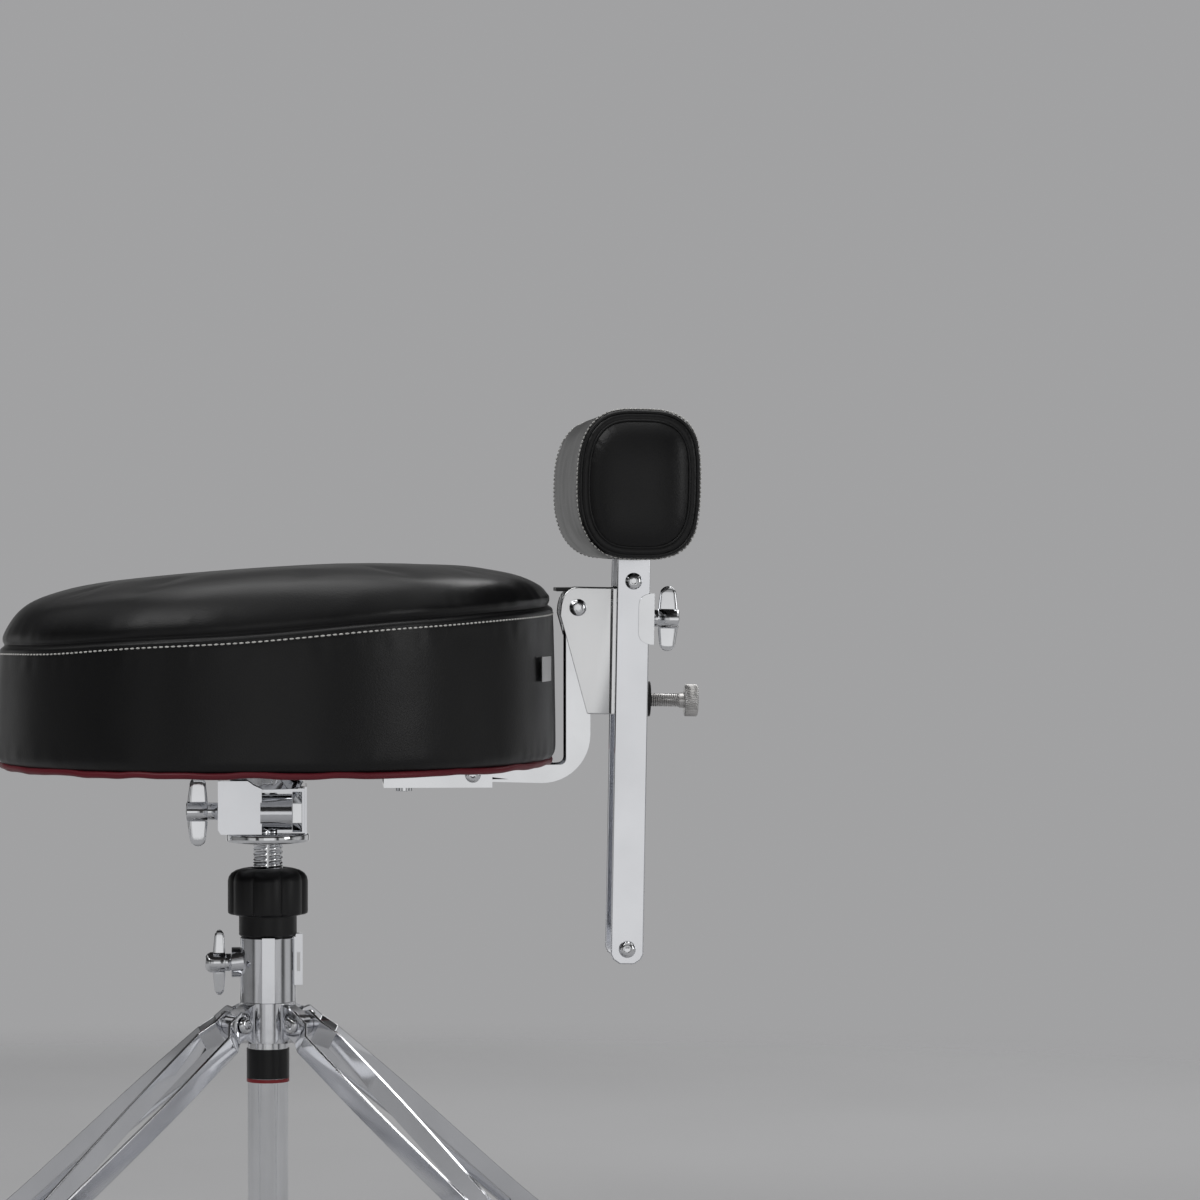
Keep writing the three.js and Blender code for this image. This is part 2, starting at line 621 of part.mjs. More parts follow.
// The seat's plan at an inset: a broad rear, round flanks and a front with a shallow saddle notch.
function seatOutline(inset, z) {
  const count = 48;
  return Array.from({ length: count }, (_, i) => {
    const turn = (i * Math.PI * 2) / count;
    const depth = Math.sin(turn) > 0 ? SEAT_REAR : SEAT_FRONT;
    const square = 0.86; // below 1 squares the ellipse off
    const x = Math.sign(Math.cos(turn)) * Math.abs(Math.cos(turn)) ** square;
    const y = Math.sign(Math.sin(turn)) * Math.abs(Math.sin(turn)) ** square;
    const notch = y < 0 ? 22 * Math.exp(-((x / 0.28) ** 2)) : 0;
    return [(SEAT_HALF - inset) * x, (depth - inset) * y + notch, z];
  });
}

function addSeat() {
  const boardTop = BOARD_Z + BOARD_THICK;
  const board = loft([seatOutline(BOARD_INSET, BOARD_Z), seatOutline(BOARD_INSET, boardTop)]);
  add(throne, "seat_board", board, PLYWOOD);
  const shoulder = [0, 0.35, 0.7, 1].map((share) => {
    const turn = (share * Math.PI) / 2;
    const inset = SEAT_ROUND * 1.6 * (1 - Math.cos(turn));
    return seatOutline(inset, SEAT_TOP - 4 - SEAT_ROUND + SEAT_ROUND * Math.sin(turn));
  });
  const pad = loft([
    seatOutline(4, BOARD_Z),
    seatOutline(0, BOARD_Z + 6),
    ...shoulder,
    seatOutline(SEAT_HALF * 0.6, SEAT_TOP),
  ]);
  const room = loft([
    seatOutline(BOARD_INSET - CLEAR, BOARD_Z - 1),
    seatOutline(BOARD_INSET - CLEAR, boardTop + CLEAR),
  ]);
  add(throne, "seat_cushion", cut(pad, room), VINYL);
}

// ---- Backrest arm and its channel ---------------------------------------------------------------

const ARM_HALF = ARM_WIDTH / 2;
const CHANNEL_IN = ARM_HALF + 0.8;
const CHANNEL_OUT = CHANNEL_IN + CHANNEL_SHEET;
const CHANNEL_TOP = BOARD_Z - CLEAR;
const CHANNEL_LOW = CHANNEL_TOP - 18.2;
const ARM_LOW = CHANNEL_LOW + CHANNEL_SHEET + CLEAR;
const ARM_EDGE = CHANNEL_TOP - 2.5; // upper edge of the flanges under the seat
const ARM_TOP = PIVOT_Z + 11;
const LOCK_BOLT_Y = CHANNEL_REAR - 13.7;
const CLAMP_BOLT_Y = CHANNEL_FRONT + 14.7;

function addChannel() {
  const along = [CHANNEL_FRONT, CHANNEL_REAR];
  const slab = (x0, x1, z0, z1) => box([x0, along[0], z0], [x1, along[1], z1]);
  const lip = 12;
  const body = join(
    slab(-CHANNEL_OUT, CHANNEL_OUT, CHANNEL_LOW, CHANNEL_LOW + CHANNEL_SHEET),
    slab(CHANNEL_IN, CHANNEL_OUT, CHANNEL_LOW, CHANNEL_TOP),
    slab(-CHANNEL_OUT, -CHANNEL_IN, CHANNEL_LOW, CHANNEL_TOP),
    slab(CHANNEL_IN, CHANNEL_OUT + lip, CHANNEL_TOP - CHANNEL_SHEET, CHANNEL_TOP),
    slab(-CHANNEL_OUT - lip, -CHANNEL_IN, CHANNEL_TOP - CHANNEL_SHEET, CHANNEL_TOP),
  );
  const boltZ = (CHANNEL_LOW + CHANNEL_TOP) / 2;
  const sideHole = rod("x", 3.7 + CLEAR, CHANNEL_IN - 1, CHANNEL_OUT + 1, [LOCK_BOLT_Y, boltZ]);
  const webHole = rod("z", 3.7 + CLEAR, CHANNEL_LOW - 1, ARM_LOW, [0, CLAMP_BOLT_Y]);
  add(throne, "arm_channel", cut(body, sideHole, webHole), CHROME);
  const sideBolt = join(
    rod("x", 3.7, CHANNEL_IN - 0.3, CHANNEL_OUT + 1, [LOCK_BOLT_Y, boltZ]),
    rod("x", 5.6, CHANNEL_OUT + CLEAR, CHANNEL_OUT + 3.4, [LOCK_BOLT_Y, boltZ], HEAD),
  );
  add(throne, "arm_lock_bolt", sideBolt, CHROME);
  const webBolt = join(
    rod("z", 3.7, CHANNEL_LOW - 1, ARM_LOW - CLEAR, [0, CLAMP_BOLT_Y]),
    rod("z", 6.4, CHANNEL_LOW - 3.4, CHANNEL_LOW - CLEAR, [0, CLAMP_BOLT_Y], HEAD),
  );
  add(throne, "arm_clamp_bolt", webBolt, CHROME);
}

// The arm's outer face: along under the seat, round the bend and up, at an offset inwards.
function armBack(shape, offset) {
  shape.moveTo(ARM_FRONT, ARM_LOW + offset);
  shape.absarc(ARM_REAR - ARM_BEND, ARM_LOW + ARM_BEND, ARM_BEND - offset, -Math.PI / 2, 0, false);
  shape.lineTo(ARM_REAR - offset, ARM_TOP);
}

// One flange of the arm in Y and Z, with a tight inner corner behind the seat.
function armFlange() {
  const shape = new THREE.Shape();
  const edge = ARM_REAR - ARM_DEPTH;
  armBack(shape, 0);
  shape.lineTo(edge, ARM_TOP);
  shape.lineTo(edge, ARM_EDGE + 5);
  shape.quadraticCurveTo(edge, ARM_EDGE, edge - 5, ARM_EDGE);
  shape.lineTo(ARM_FRONT, ARM_EDGE);
  shape.closePath();
  return shape;
}

// The arm's web in Y and Z: a band of one sheet's thickness.
function armWeb() {
  const shape = new THREE.Shape();
  armBack(shape, 0);
  shape.lineTo(ARM_REAR - SHEET, ARM_TOP);
  const centre = [ARM_REAR - ARM_BEND, ARM_LOW + ARM_BEND];
  shape.absarc(...centre, ARM_BEND - SHEET, 0, -Math.PI / 2, true);
  shape.lineTo(ARM_FRONT, ARM_LOW + SHEET);
  shape.closePath();
  return shape;
}

function addArm() {
  const side = (sign) => plate(armFlange(), "yz", SHEET, sign * (ARM_HALF - SHEET / 2));
  const web = plate(armWeb(), "yz", ARM_WIDTH);
  const hole = rod("x", WING_SCREW_R + RUN, -ARM_WIDTH, ARM_WIDTH, [PIVOT_Y, PIVOT_Z]);
  add(throne, "back_arm", cut(join(side(1), side(-1), web), hole), CHROME);
  const top = ARM_TOP + CLEAR;
  const cap = join(
    box([-ARM_HALF, ARM_REAR - 24, top], [ARM_HALF, ARM_REAR, top + 2.6]),
    box(
      [-ARM_HALF + SHEET + CLEAR, ARM_REAR - ARM_DEPTH, top - 6],
      [ARM_HALF - SHEET - CLEAR, ARM_REAR - SHEET - CLEAR, top + 1],
    ),
  );
  add(throne, "arm_cap", cut(cap, rod("x", 6, -60, 60, [PIVOT_Y, PIVOT_Z])), BLACK_PLASTIC);
}

// ---- Tilt bracket, clip, screws, bars and pad: laid out from the tilt pin ------------------------

const CHEEK_IN = ARM_HALF + 0.6;
const CHEEK_OUT = CHEEK_IN + SHEET;
const GUIDE = BAR_GAP / 2 - 0.5; // outer face of the bracket between the bars
const BAR_REAR = BAR_FRONT + BAR_WIDTH;
const WEB_REAR = BAR_REAR - 0.8;
const CLIP_FRONT = BAR_REAR + CLEAR;
const CLIP_REAR = CLIP_FRONT + SHEET;
const BAR_OUT = BAR_GAP / 2 + BAR_THICK;
const BOLT_STATIONS = { top: 42.5, middle: 19.2, bottom: BAR_LOW + 10.5 };

function bracket() {
  const shape = new THREE.Shape();
  shape.moveTo(BAR_FRONT, BRACKET_TOP);
  shape.lineTo(0, BRACKET_TOP);
  shape.quadraticCurveTo(-12, BRACKET_TOP, -12.4, -4);
  shape.lineTo(8, BRACKET_LOW);
  shape.lineTo(BAR_FRONT, BRACKET_LOW);
  shape.closePath();
  const cheek = (side) => plate(shape, "yz", SHEET, side * (CHEEK_IN + SHEET / 2));
  const slab = (x0, x1, y0, y1) => box([x0, y0, BRACKET_LOW], [x1, y1, BRACKET_TOP]);
  const step = (side) =>
    slab(...[side * CHEEK_IN, side * GUIDE].sort((a, b) => a - b), BAR_FRONT - SHEET, BAR_FRONT);
  const wing = (side) =>
    slab(...[side * (GUIDE - SHEET), side * GUIDE].sort((a, b) => a - b), BAR_FRONT - 1, WEB_REAR);
  const web = slab(-GUIDE, GUIDE, WEB_REAR - SHEET, WEB_REAR);
  return cut(
    join(cheek(1), cheek(-1), step(1), step(-1), wing(1), wing(-1), web),
    rod("x", WING_SCREW_R + RUN, -40, 40, [0, 0]),
    rod("y", SCREW_R + RUN, WEB_REAR - 5, WEB_REAR + 1, [0, -SCREW_DROP]),
    rod("y", WING_SCREW_R + RUN, WEB_REAR - 5, WEB_REAR + 1, [0, -CLIP_DROP]),
  );
}

function pivotBolt() {
  const head = CHEEK_OUT + CLEAR;
  return join(
    rod("x", WING_SCREW_R, -head - 1, head + 1, [0, 0]),
    rod("x", 6, head, head + 3.3, [0, 0], HEAD),
    rod("x", 6, -head - 3.3, -head, [0, 0], 6),
  );
}

// The clip that grips both bars from behind.
function clip() {
  const low = -CLIP_DROP - CLIP_HEIGHT / 2;
  const out = BAR_OUT + CLEAR + 2.5;
  const tabShape = new THREE.Shape();
  tabShape.moveTo(CLIP_REAR, low);
  tabShape.lineTo(CLIP_REAR, low + CLIP_HEIGHT);
  tabShape.quadraticCurveTo(CLIP_FRONT - 8, low + CLIP_HEIGHT, CLIP_FRONT - 8, low + CLIP_HEIGHT - 9);
  tabShape.lineTo(CLIP_FRONT - 8, low + 9);
  tabShape.quadraticCurveTo(CLIP_FRONT - 8, low, CLIP_REAR, low);
  const tab = (side) => plate(tabShape, "yz", 2.5, side * (out - 1.25));
  const back = box([-out, CLIP_FRONT, low], [out, CLIP_REAR, low + CLIP_HEIGHT]);
  const hole = rod("y", WING_SCREW_R + RUN, CLIP_FRONT - 1, CLIP_REAR + 1, [0, -CLIP_DROP]);
  return cut(join(back, tab(1), tab(-1)), hole);
}

// The knurled tilt screw, whose tip bears on the arm's upright.
function tiltScrew() {
  const tip = ARM_REAR - PIVOT_Y + SCREW_DROP * Math.sin(BACK_LEAN) + 0.5;
  const knob = CLIP_REAR + 24.5;
  const teeth = 18;
  const outline = Array.from({ length: teeth * 2 }, (_, i) => {
    const turn = (i * Math.PI) / teeth;
    const radius = 11.4 - (i % 2) * 0.7;
    return [radius * Math.cos(turn), radius * Math.sin(turn)];
  });
  const grip = plate(polygon(outline), "xy", 9.5).rotateX(-Math.PI / 2);
  return join(
    rod("y", SCREW_R, tip, knob + 1, [0, -SCREW_DROP], HEAD),
    grip.translate(0, knob + 4.75, -SCREW_DROP),
  );
}

function lockDisc() {
  const disc = rod("y", 12.4, WEB_REAR + CLEAR, WEB_REAR + CLEAR + 4.3, [0, -SCREW_DROP], 32);
  return cut(disc, rod("y", SCREW_R + RUN, WEB_REAR, WEB_REAR + 6, [0, -SCREW_DROP], HEAD));
}

function bar(side) {
  const middle = BAR_FRONT + BAR_WIDTH / 2;
  const shape = polygon([
    [BAR_FRONT, BAR_LOW + 7],
    [BAR_FRONT + 2, BAR_LOW + 3],
    [BAR_FRONT + 6.5, BAR_LOW],
    [BAR_REAR - 6.5, BAR_LOW],
    [BAR_REAR - 2, BAR_LOW + 3],
    [BAR_REAR, BAR_LOW + 7],
    [BAR_REAR, BAR_HIGH],
    [BAR_FRONT, BAR_HIGH],
  ]);
  const holes = Object.values(BOLT_STATIONS).map((z) =>
    rod("x", BOLT_R + RUN, -60, 60, [middle, z]),
  );
  return cut(plate(shape, "yz", BAR_THICK, side * (BAR_OUT - BAR_THICK / 2)), ...holes);
}

function barBolt(z) {
  const at = [BAR_FRONT + BAR_WIDTH / 2, z];
  const head = BAR_OUT + CLEAR;
  return join(
    rod("x", BOLT_R, -head - 1, head + 1, at),
    rod("x", BOLT_HEAD_R, head, head + BOLT_HEAD, at, HEAD),
    rod("x", BOLT_HEAD_R, -head - BOLT_HEAD, -head, at, HEAD),
  );
}

function barSpacer() {
  const at = [BAR_FRONT + BAR_WIDTH / 2, BOLT_STATIONS.bottom];
  const half = BAR_GAP / 2 - CLEAR;
  return cut(rod("x", BOLT_R + 1.6, -half, half, at), rod("x", BOLT_R + CLEAR, -40, 40, at));
}

const POCKET_TOP = BAR_HIGH + 2;

// The steel block between the bars that carries the pad's board.
function padBracket() {
  const half = BAR_GAP / 2 - CLEAR;
  const front = BAR_FRONT + 3;
  const rear = BAR_REAR - 3;
  const low = BRACKET_TOP + 0.5;
  const block = box([-half, front, low], [half, rear, POCKET_TOP]);
  const hollow = box([-half + SHEET, front + SHEET, low - 1], [half - SHEET, rear + 1, POCKET_TOP - SHEET]);
  const holes = [BOLT_STATIONS.top, BOLT_STATIONS.middle].map((z) =>
    rod("x", BOLT_R + RUN, -60, 60, [BAR_FRONT + BAR_WIDTH / 2, z]),
  );
  return cut(block, hollow, ...holes);
}

// A round-edged bolster with a pocket below for the bars and a slot for its board.
function padSolids() {
  const middle = BAR_FRONT + BAR_WIDTH / 2 - 5.7;
  const half = PAD_WIDTH / 2;
  const height = PAD_BOTTOM + PAD_HEIGHT / 2;
  const power = (value) => Math.sign(value) * Math.abs(value) ** PAD_SQUARE;
  const section = (inset) =>
    Array.from({ length: 28 }, (_, i) => {
      const turn = ((i + 0.5) * Math.PI) / 14;
      return [
        middle + (PAD_DEPTH / 2 - inset) * power(Math.cos(turn)),
        height + (PAD_HEIGHT / 2 - inset) * power(Math.sin(turn)),
      ];
    });
  const level = (x, inset) => section(inset).map(([y, z]) => [x, y, z]);
  const body = loft([level(-half, 9), level(-half + 9, 0), level(half - 9, 0), level(half, 9)]);
  const boardLow = POCKET_TOP + CLEAR;
  const boardHigh = PAD_BOTTOM + PAD_HEIGHT - 16;
  const boardY = BAR_FRONT + BAR_WIDTH / 2;
  const boardHalf = PAD_WIDTH / 2 - 20;
  const board = box(
    [-boardHalf, boardY - PAD_BOARD / 2, boardLow],
    [boardHalf, boardY + PAD_BOARD / 2, boardHigh],
  );
  const room = box(
    [-boardHalf - CLEAR, boardY - PAD_BOARD / 2 - CLEAR, boardLow - CLEAR],
    [boardHalf + CLEAR, boardY + PAD_BOARD / 2 + CLEAR, boardHigh + CLEAR],
  );
  const pocketHalf = BAR_OUT + BOLT_HEAD + 3;
  const pocket = box(
    [-pocketHalf, BAR_FRONT - 2, PAD_BOTTOM - 10],
    [pocketHalf, BAR_REAR + 2, POCKET_TOP + CLEAR],
  );
  return { board, cushion: cut(body, room, pocket) };
}

function addBack() {
  const lean = new THREE.Group();
  lean.position.set(0, PIVOT_Y, PIVOT_Z);
  lean.rotation.x = -BACK_LEAN;
  throne.add(lean);
  add(lean, "tilt_bracket", bracket(), SATIN);
  add(lean, "tilt_pivot_bolt", pivotBolt(), CHROME);
  add(lean, "bar_clip", clip(), CHROME);
  add(lean, "tilt_lock_disc", lockDisc(), BLACK_PLASTIC);
  add(lean, "tilt_screw", tiltScrew(), CHROME);
  const shank = CLIP_REAR - WEB_REAR + SHEET + 4;
  const bolt = wingBolt({ shank, neck: 5.6, span: WING_SPAN, depth: 14.5, nose: 1 });
  add(lean, "clip_wing_bolt", facing(bolt, 1, CLIP_REAR + CLEAR, -CLIP_DROP), CHROME);
  add(lean, "bar_left", bar(1), CHROME);
  add(lean, "bar_right", bar(-1), CHROME);
  Object.entries(BOLT_STATIONS).forEach(([name, z]) => {
    add(lean, `bar_bolt_${name}`, barBolt(z), CHROME);
  });
  add(lean, "bar_spacer", barSpacer(), CHROME);
  add(lean, "pad_bracket", padBracket(), BLACK_STEEL);
  const { board, cushion } = padSolids();
  add(lean, "pad_board", board, PLYWOOD);
  add(lean, "pad_cushion", cushion, VINYL);
}

addTube();
addHub();
addClamp();
addPostWing();
addLegs();
addHandle();
addPost();
addReceiver();
addSeatPlate();
addSeat();
addChannel();
addArm();
addBack();

// The origin is the middle of the floor under the whole throne.
throne.updateMatrixWorld(true);
const extent = new THREE.Box3().setFromObject(throne, true);
const centred = new THREE.Group();
throne.position.y = -(extent.min.y + extent.max.y) / 2;
centred.add(throne);

export default centred;
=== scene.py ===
"""A folding drum throne with a backrest, dressed around its fixed frame.

Every sub-assembly is a class that holds its own sizes and builds its own meshes; every finish is a
frozen dataclass that builds one procedural material. Lengths are in metres.
"""
import json
import logging
import math
from dataclasses import dataclass, field
from enum import Enum
from typing import Callable, Sequence

import bmesh
import bpy
import numpy as np
from mathutils import Matrix, Vector, noise
from mathutils.bvhtree import BVHTree

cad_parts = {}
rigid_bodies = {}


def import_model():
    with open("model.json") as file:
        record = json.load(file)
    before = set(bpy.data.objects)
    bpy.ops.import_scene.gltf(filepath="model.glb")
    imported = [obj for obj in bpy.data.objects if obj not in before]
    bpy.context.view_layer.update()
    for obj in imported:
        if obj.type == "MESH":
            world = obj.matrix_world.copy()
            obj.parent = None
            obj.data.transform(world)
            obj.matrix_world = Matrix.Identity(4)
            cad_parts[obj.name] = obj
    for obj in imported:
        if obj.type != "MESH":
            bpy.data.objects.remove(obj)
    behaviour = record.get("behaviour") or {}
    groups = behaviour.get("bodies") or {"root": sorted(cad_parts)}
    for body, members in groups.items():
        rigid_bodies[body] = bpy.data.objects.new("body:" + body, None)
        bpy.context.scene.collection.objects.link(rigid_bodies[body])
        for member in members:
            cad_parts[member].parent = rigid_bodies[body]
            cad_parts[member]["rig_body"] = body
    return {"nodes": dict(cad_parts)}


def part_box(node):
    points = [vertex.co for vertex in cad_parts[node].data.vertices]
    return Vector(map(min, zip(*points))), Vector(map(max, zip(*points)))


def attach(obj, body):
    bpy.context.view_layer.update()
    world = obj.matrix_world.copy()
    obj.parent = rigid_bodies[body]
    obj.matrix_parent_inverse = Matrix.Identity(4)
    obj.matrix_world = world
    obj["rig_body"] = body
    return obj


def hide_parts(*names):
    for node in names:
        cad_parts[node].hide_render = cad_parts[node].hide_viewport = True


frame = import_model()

LOG = logging.getLogger("drum_throne")
MM = 0.001
LEGS = ("rear_left", "rear_right", "front_right", "front_left")
Ring = list[Vector]


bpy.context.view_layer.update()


# ---- Materials --------------------------------------------------------------------------------


class Slot(Enum):
    """The record's material slots."""

    CHROME = "chrome"
    CAST = "cast_metal"
    SATIN = "satin_steel"
    BLACK_STEEL = "black_steel"
    PLASTIC = "black_plastic"
    RED = "red_line"
    BRASS = "brass"
    RUBBER = "rubber"
    PLYWOOD = "plywood"
    VINYL = "vinyl"


class Graph:
    """A short way to add and link nodes in a material or a geometry tree."""

    def __init__(self, tree: bpy.types.NodeTree) -> None:
        """Wraps an existing tree."""
        self.tree = tree

    def add(self, kind: str, inputs: dict | None = None, **settings: object) -> bpy.types.Node:
        """Adds one node.

        Args:
            kind: Blender's node type.
            inputs: socket name or index to a constant or to another node's output socket.
            settings: the node's own properties.

        Returns:
            The new node.
        """
        node = self.tree.nodes.new(kind)
        for name, value in settings.items():
            setattr(node, name, value)
        for name, value in (inputs or {}).items():
            if isinstance(value, bpy.types.NodeSocket):
                self.tree.links.new(value, node.inputs[name])
            else:
                node.inputs[name].default_value = value
        return node


def cloud(graph: Graph, place: bpy.types.NodeSocket, scale: float, detail: float) -> object:
    """A noise texture's height socket, at a scale per metre."""
    inputs = {"Vector": place, "Scale": scale, "Detail": detail}
    return graph.add("ShaderNodeTexNoise", inputs).outputs["Fac"]


def bump(graph: Graph, height: object, distance: float, **inputs: object) -> object:
    """A bump's normal socket, from a height and how far it stands."""
    values = {"Height": height, "Distance": distance, "Strength": 1.0, **inputs}
    return graph.add("ShaderNodeBump", values).outputs["Normal"]


@dataclass(frozen=True)
class Finish:
    """The base of every finish: a name, the record's slot and the plain shader values."""

    name: str
    slot: Slot
    color: tuple[float, float, float]
    roughness: float = 0.4
    metallic: float = 0.0
    spread: float = 0.05  # how far the roughness wanders
    patch: float = 60.0  # patches of that wander per metre
    grain: float = 900.0  # bumps per metre
    depth: float = 0.05 * MM  # height of the bumps
    coat: float = 0.0
    specular: float = 0.5

    def build(self) -> bpy.types.Material:
        """Makes the material.

        Returns:
            A new node material.
        """
        material = bpy.data.materials.new(self.name)
        material.use_nodes = True
        material.diffuse_color = (*self.color, 1.0)
        graph = Graph(material.node_tree)
        shader = material.node_tree.nodes["Principled BSDF"]
        shader.inputs["Base Color"].default_value = (*self.color, 1.0)
        shader.inputs["Metallic"].default_value = self.metallic
        shader.inputs["Coat Weight"].default_value = self.coat
        shader.inputs["Specular IOR Level"].default_value = self.specular
        shader.inputs["Coat Roughness"].default_value = 0.2
        place = graph.add("ShaderNodeTexCoord").outputs["Object"]
        links = material.node_tree.links
        links.new(self.roughness_of(graph, place), shader.inputs["Roughness"])
        links.new(self.bump_of(graph, place), shader.inputs["Normal"])
        self.color_of(graph, place, shader)
        return material

    def roughness_of(self, graph: Graph, place: bpy.types.NodeSocket) -> bpy.types.NodeSocket:
        """Roughness that wanders softly across the surface."""
        wander = cloud(graph, place, self.patch, 2.0)
        low, high = self.roughness - self.spread, self.roughness + self.spread
        spread = graph.add(
            "ShaderNodeMapRange",
            {"Value": wander, 1: 0.15, 2: 0.85, 3: max(low, 0.02), 4: high},
        )
        return spread.outputs[0]

    def bump_of(self, graph: Graph, place: bpy.types.NodeSocket) -> bpy.types.NodeSocket:
        """Fine bumps all over."""
        return bump(graph, cloud(graph, place, self.grain, 3.0), self.depth)

    def color_of(
        self, graph: Graph, place: bpy.types.NodeSocket, shader: bpy.types.Node
    ) -> None:
        """Colour that varies a little in soft patches."""
        patches = cloud(graph, place, self.patch * 0.5, 4.0)
        dark = tuple(value * 0.82 for value in self.color)
        light = tuple(min(value * 1.12, 1.0) for value in self.color)
        mix = graph.add(
            "ShaderNodeMix",
            {"Factor": patches, 6: (*dark, 1.0), 7: (*light, 1.0)},
            data_type="RGBA",
        )
        graph.tree.links.new(mix.outputs[2], shader.inputs["Base Color"])


@dataclass(frozen=True)
class Brushed(Finish):
    """Metal with fine hairlines along one axis."""

    along: tuple[float, float, float] = (1.0, 1.0, 0.04)

    def bump_of(self, graph: Graph, place: bpy.types.NodeSocket) -> bpy.types.NodeSocket:
        """Hairline scratches stretched along the grain."""
        stretched = graph.add("ShaderNodeMapping", {"Vector": place, "Scale": self.along})
        return bump(graph, cloud(graph, stretched.outputs[0], self.grain, 4.0), self.depth)


@dataclass(frozen=True)
class Leather(Finish):
    """Vinyl upholstery: fine pebble grain over soft, shallow creases."""

    crease: float = 22.0
    crease_depth: float = 0.5 * MM

    def bump_of(self, graph: Graph, place: bpy.types.NodeSocket) -> bpy.types.NodeSocket:
        """Pebbles from cell distances, bent by noise, on top of broad creases."""
        bend = cloud(graph, place, self.crease, 3.0)
        broad = bump(graph, bend, self.crease_depth, Strength=0.6)
        pebble = graph.add(
            "ShaderNodeTexVoronoi",
            {"Vector": place, "Scale": self.grain, "Randomness": 1.0},
            feature="SMOOTH_F1",
        )
        height = pebble.outputs["Distance"]
        return bump(graph, height, self.depth, Strength=0.7, Normal=broad)


@dataclass(frozen=True)
class Thread(Finish):
    """Twisted sewing thread."""

    def bump_of(self, graph: Graph, place: bpy.types.NodeSocket) -> bpy.types.NodeSocket:
        """The thread's plies as fine waves."""
        wave = graph.add(
            "ShaderNodeTexWave",
            {"Vector": place, "Scale": self.grain, "Distortion": 1.5, "Detail": 1.0},
            bands_direction="DIAGONAL",
        )
        return bump(graph, wave.outputs["Fac"], self.depth)


@dataclass(frozen=True)
class Wood(Finish):
    """Black-stained plywood with its plies lying flat."""

    def color_of(
        self, graph: Graph, place: bpy.types.NodeSocket, shader: bpy.types.Node
    ) -> None:
        """Alternate dark and light plies, and a soft figure along the grain."""
        wave = graph.add(
            "ShaderNodeTexWave",
            {"Vector": place, "Scale": 110.0, "Distortion": 0.6, "Detail": 2.0},
            bands_direction="Z",
        )
        mix = graph.add(
            "ShaderNodeMix",
            {
                "Factor": wave.outputs["Fac"],
                6: (*(value * 0.6 for value in self.color), 1.0),
                7: (*self.color, 1.0),
            },
            data_type="RGBA",
        )
        graph.tree.links.new(mix.outputs[2], shader.inputs["Base Color"])


FINISHES: dict[str, Finish] = {
    finish.name: finish
    for finish in (
        Finish(
            "polished_chrome", Slot.CHROME, (0.86, 0.87, 0.89),
            0.055, 1.0, 0.015, 40, 200, 0.004 * MM,
        ),
        Brushed(
            "polished_strip", Slot.CHROME, (0.84, 0.85, 0.88),
            0.09, 1.0, 0.02, 30, 900, 0.002 * MM,
        ),
        Finish("turned_zinc", Slot.CHROME, (0.62, 0.61, 0.6), 0.3, 1.0, 0.04, 60, 500, 0.01 * MM),
        Finish(
            "plated_casting", Slot.CAST, (0.78, 0.79, 0.82),
            0.13, 1.0, 0.03, 40, 160, 0.03 * MM,
        ),
        Brushed(
            "satin_plate", Slot.SATIN, (0.86, 0.865, 0.875),
            0.24, 1.0, 0.03, 30, 1100, 0.004 * MM,
        ),
        Finish(
            "black_paint", Slot.BLACK_STEEL, (0.012, 0.012, 0.013),
            0.34, 0.0, 0.06, 60, 700, 0.03 * MM, 0.2,
        ),
        Finish(
            "moulded_plastic", Slot.PLASTIC, (0.008, 0.008, 0.009),
            0.4, 0.0, 0.05, 60, 1100, 0.04 * MM, 0.0, 0.4,
        ),
        Finish(
            "printed_band", Slot.PLASTIC, (0.008, 0.008, 0.009),
            0.3, 0.0, 0.04, 60, 600, 0.01 * MM, 0.0, 0.35,
        ),
        Finish("printed_line", Slot.RED, (0.3, 0.012, 0.02), 0.3, 0.0, 0.05, 80, 600, 0.01 * MM),
        Finish("turned_brass", Slot.BRASS, (0.6, 0.42, 0.18), 0.25, 1.0, 0.06, 90, 700, 0.02 * MM),
        Finish(
            "foot_rubber", Slot.RUBBER, (0.014, 0.014, 0.015),
            0.7, 0.0, 0.1, 70, 800, 0.12 * MM,
        ),
        Wood(
            "board_plywood", Slot.PLYWOOD, (0.032, 0.029, 0.027),
            0.6, 0.0, 0.1, 40, 300, 0.1 * MM,
        ),
        Leather(
            "seat_vinyl", Slot.VINYL, (0.0045, 0.0045, 0.005),
            0.36, 0.0, 0.04, 30, 950, 0.09 * MM, 0.0, 0.34,
        ),
        Leather(
            "piping_vinyl", Slot.RED, (0.16, 0.012, 0.022),
            0.42, 0.0, 0.06, 60, 1500, 0.06 * MM, 0.0, 0.35,
        ),
        Leather(
            "edge_vinyl", Slot.VINYL, (0.005, 0.005, 0.0055),
            0.4, 0.0, 0.06, 60, 1500, 0.06 * MM, 0.0, 0.35,
        ),
        Thread("white_thread", Slot.VINYL, (0.84, 0.83, 0.8), 0.7, 0.0, 0.1, 90, 2600, 0.08 * MM),
        Finish("woven_tag", Slot.VINYL, (0.78, 0.78, 0.79), 0.75, 0.0, 0.1, 90, 2500, 0.08 * MM),
    )
}
_MADE: dict[str, bpy.types.Material] = {}


def material(name: str) -> bpy.types.Material:
    """The material of a finish, made the first time that it is asked for."""
    if name not in _MADE:
        _MADE[name] = FINISHES[name].build()
    return _MADE[name]


# ---- Meshes -----------------------------------------------------------------------------------


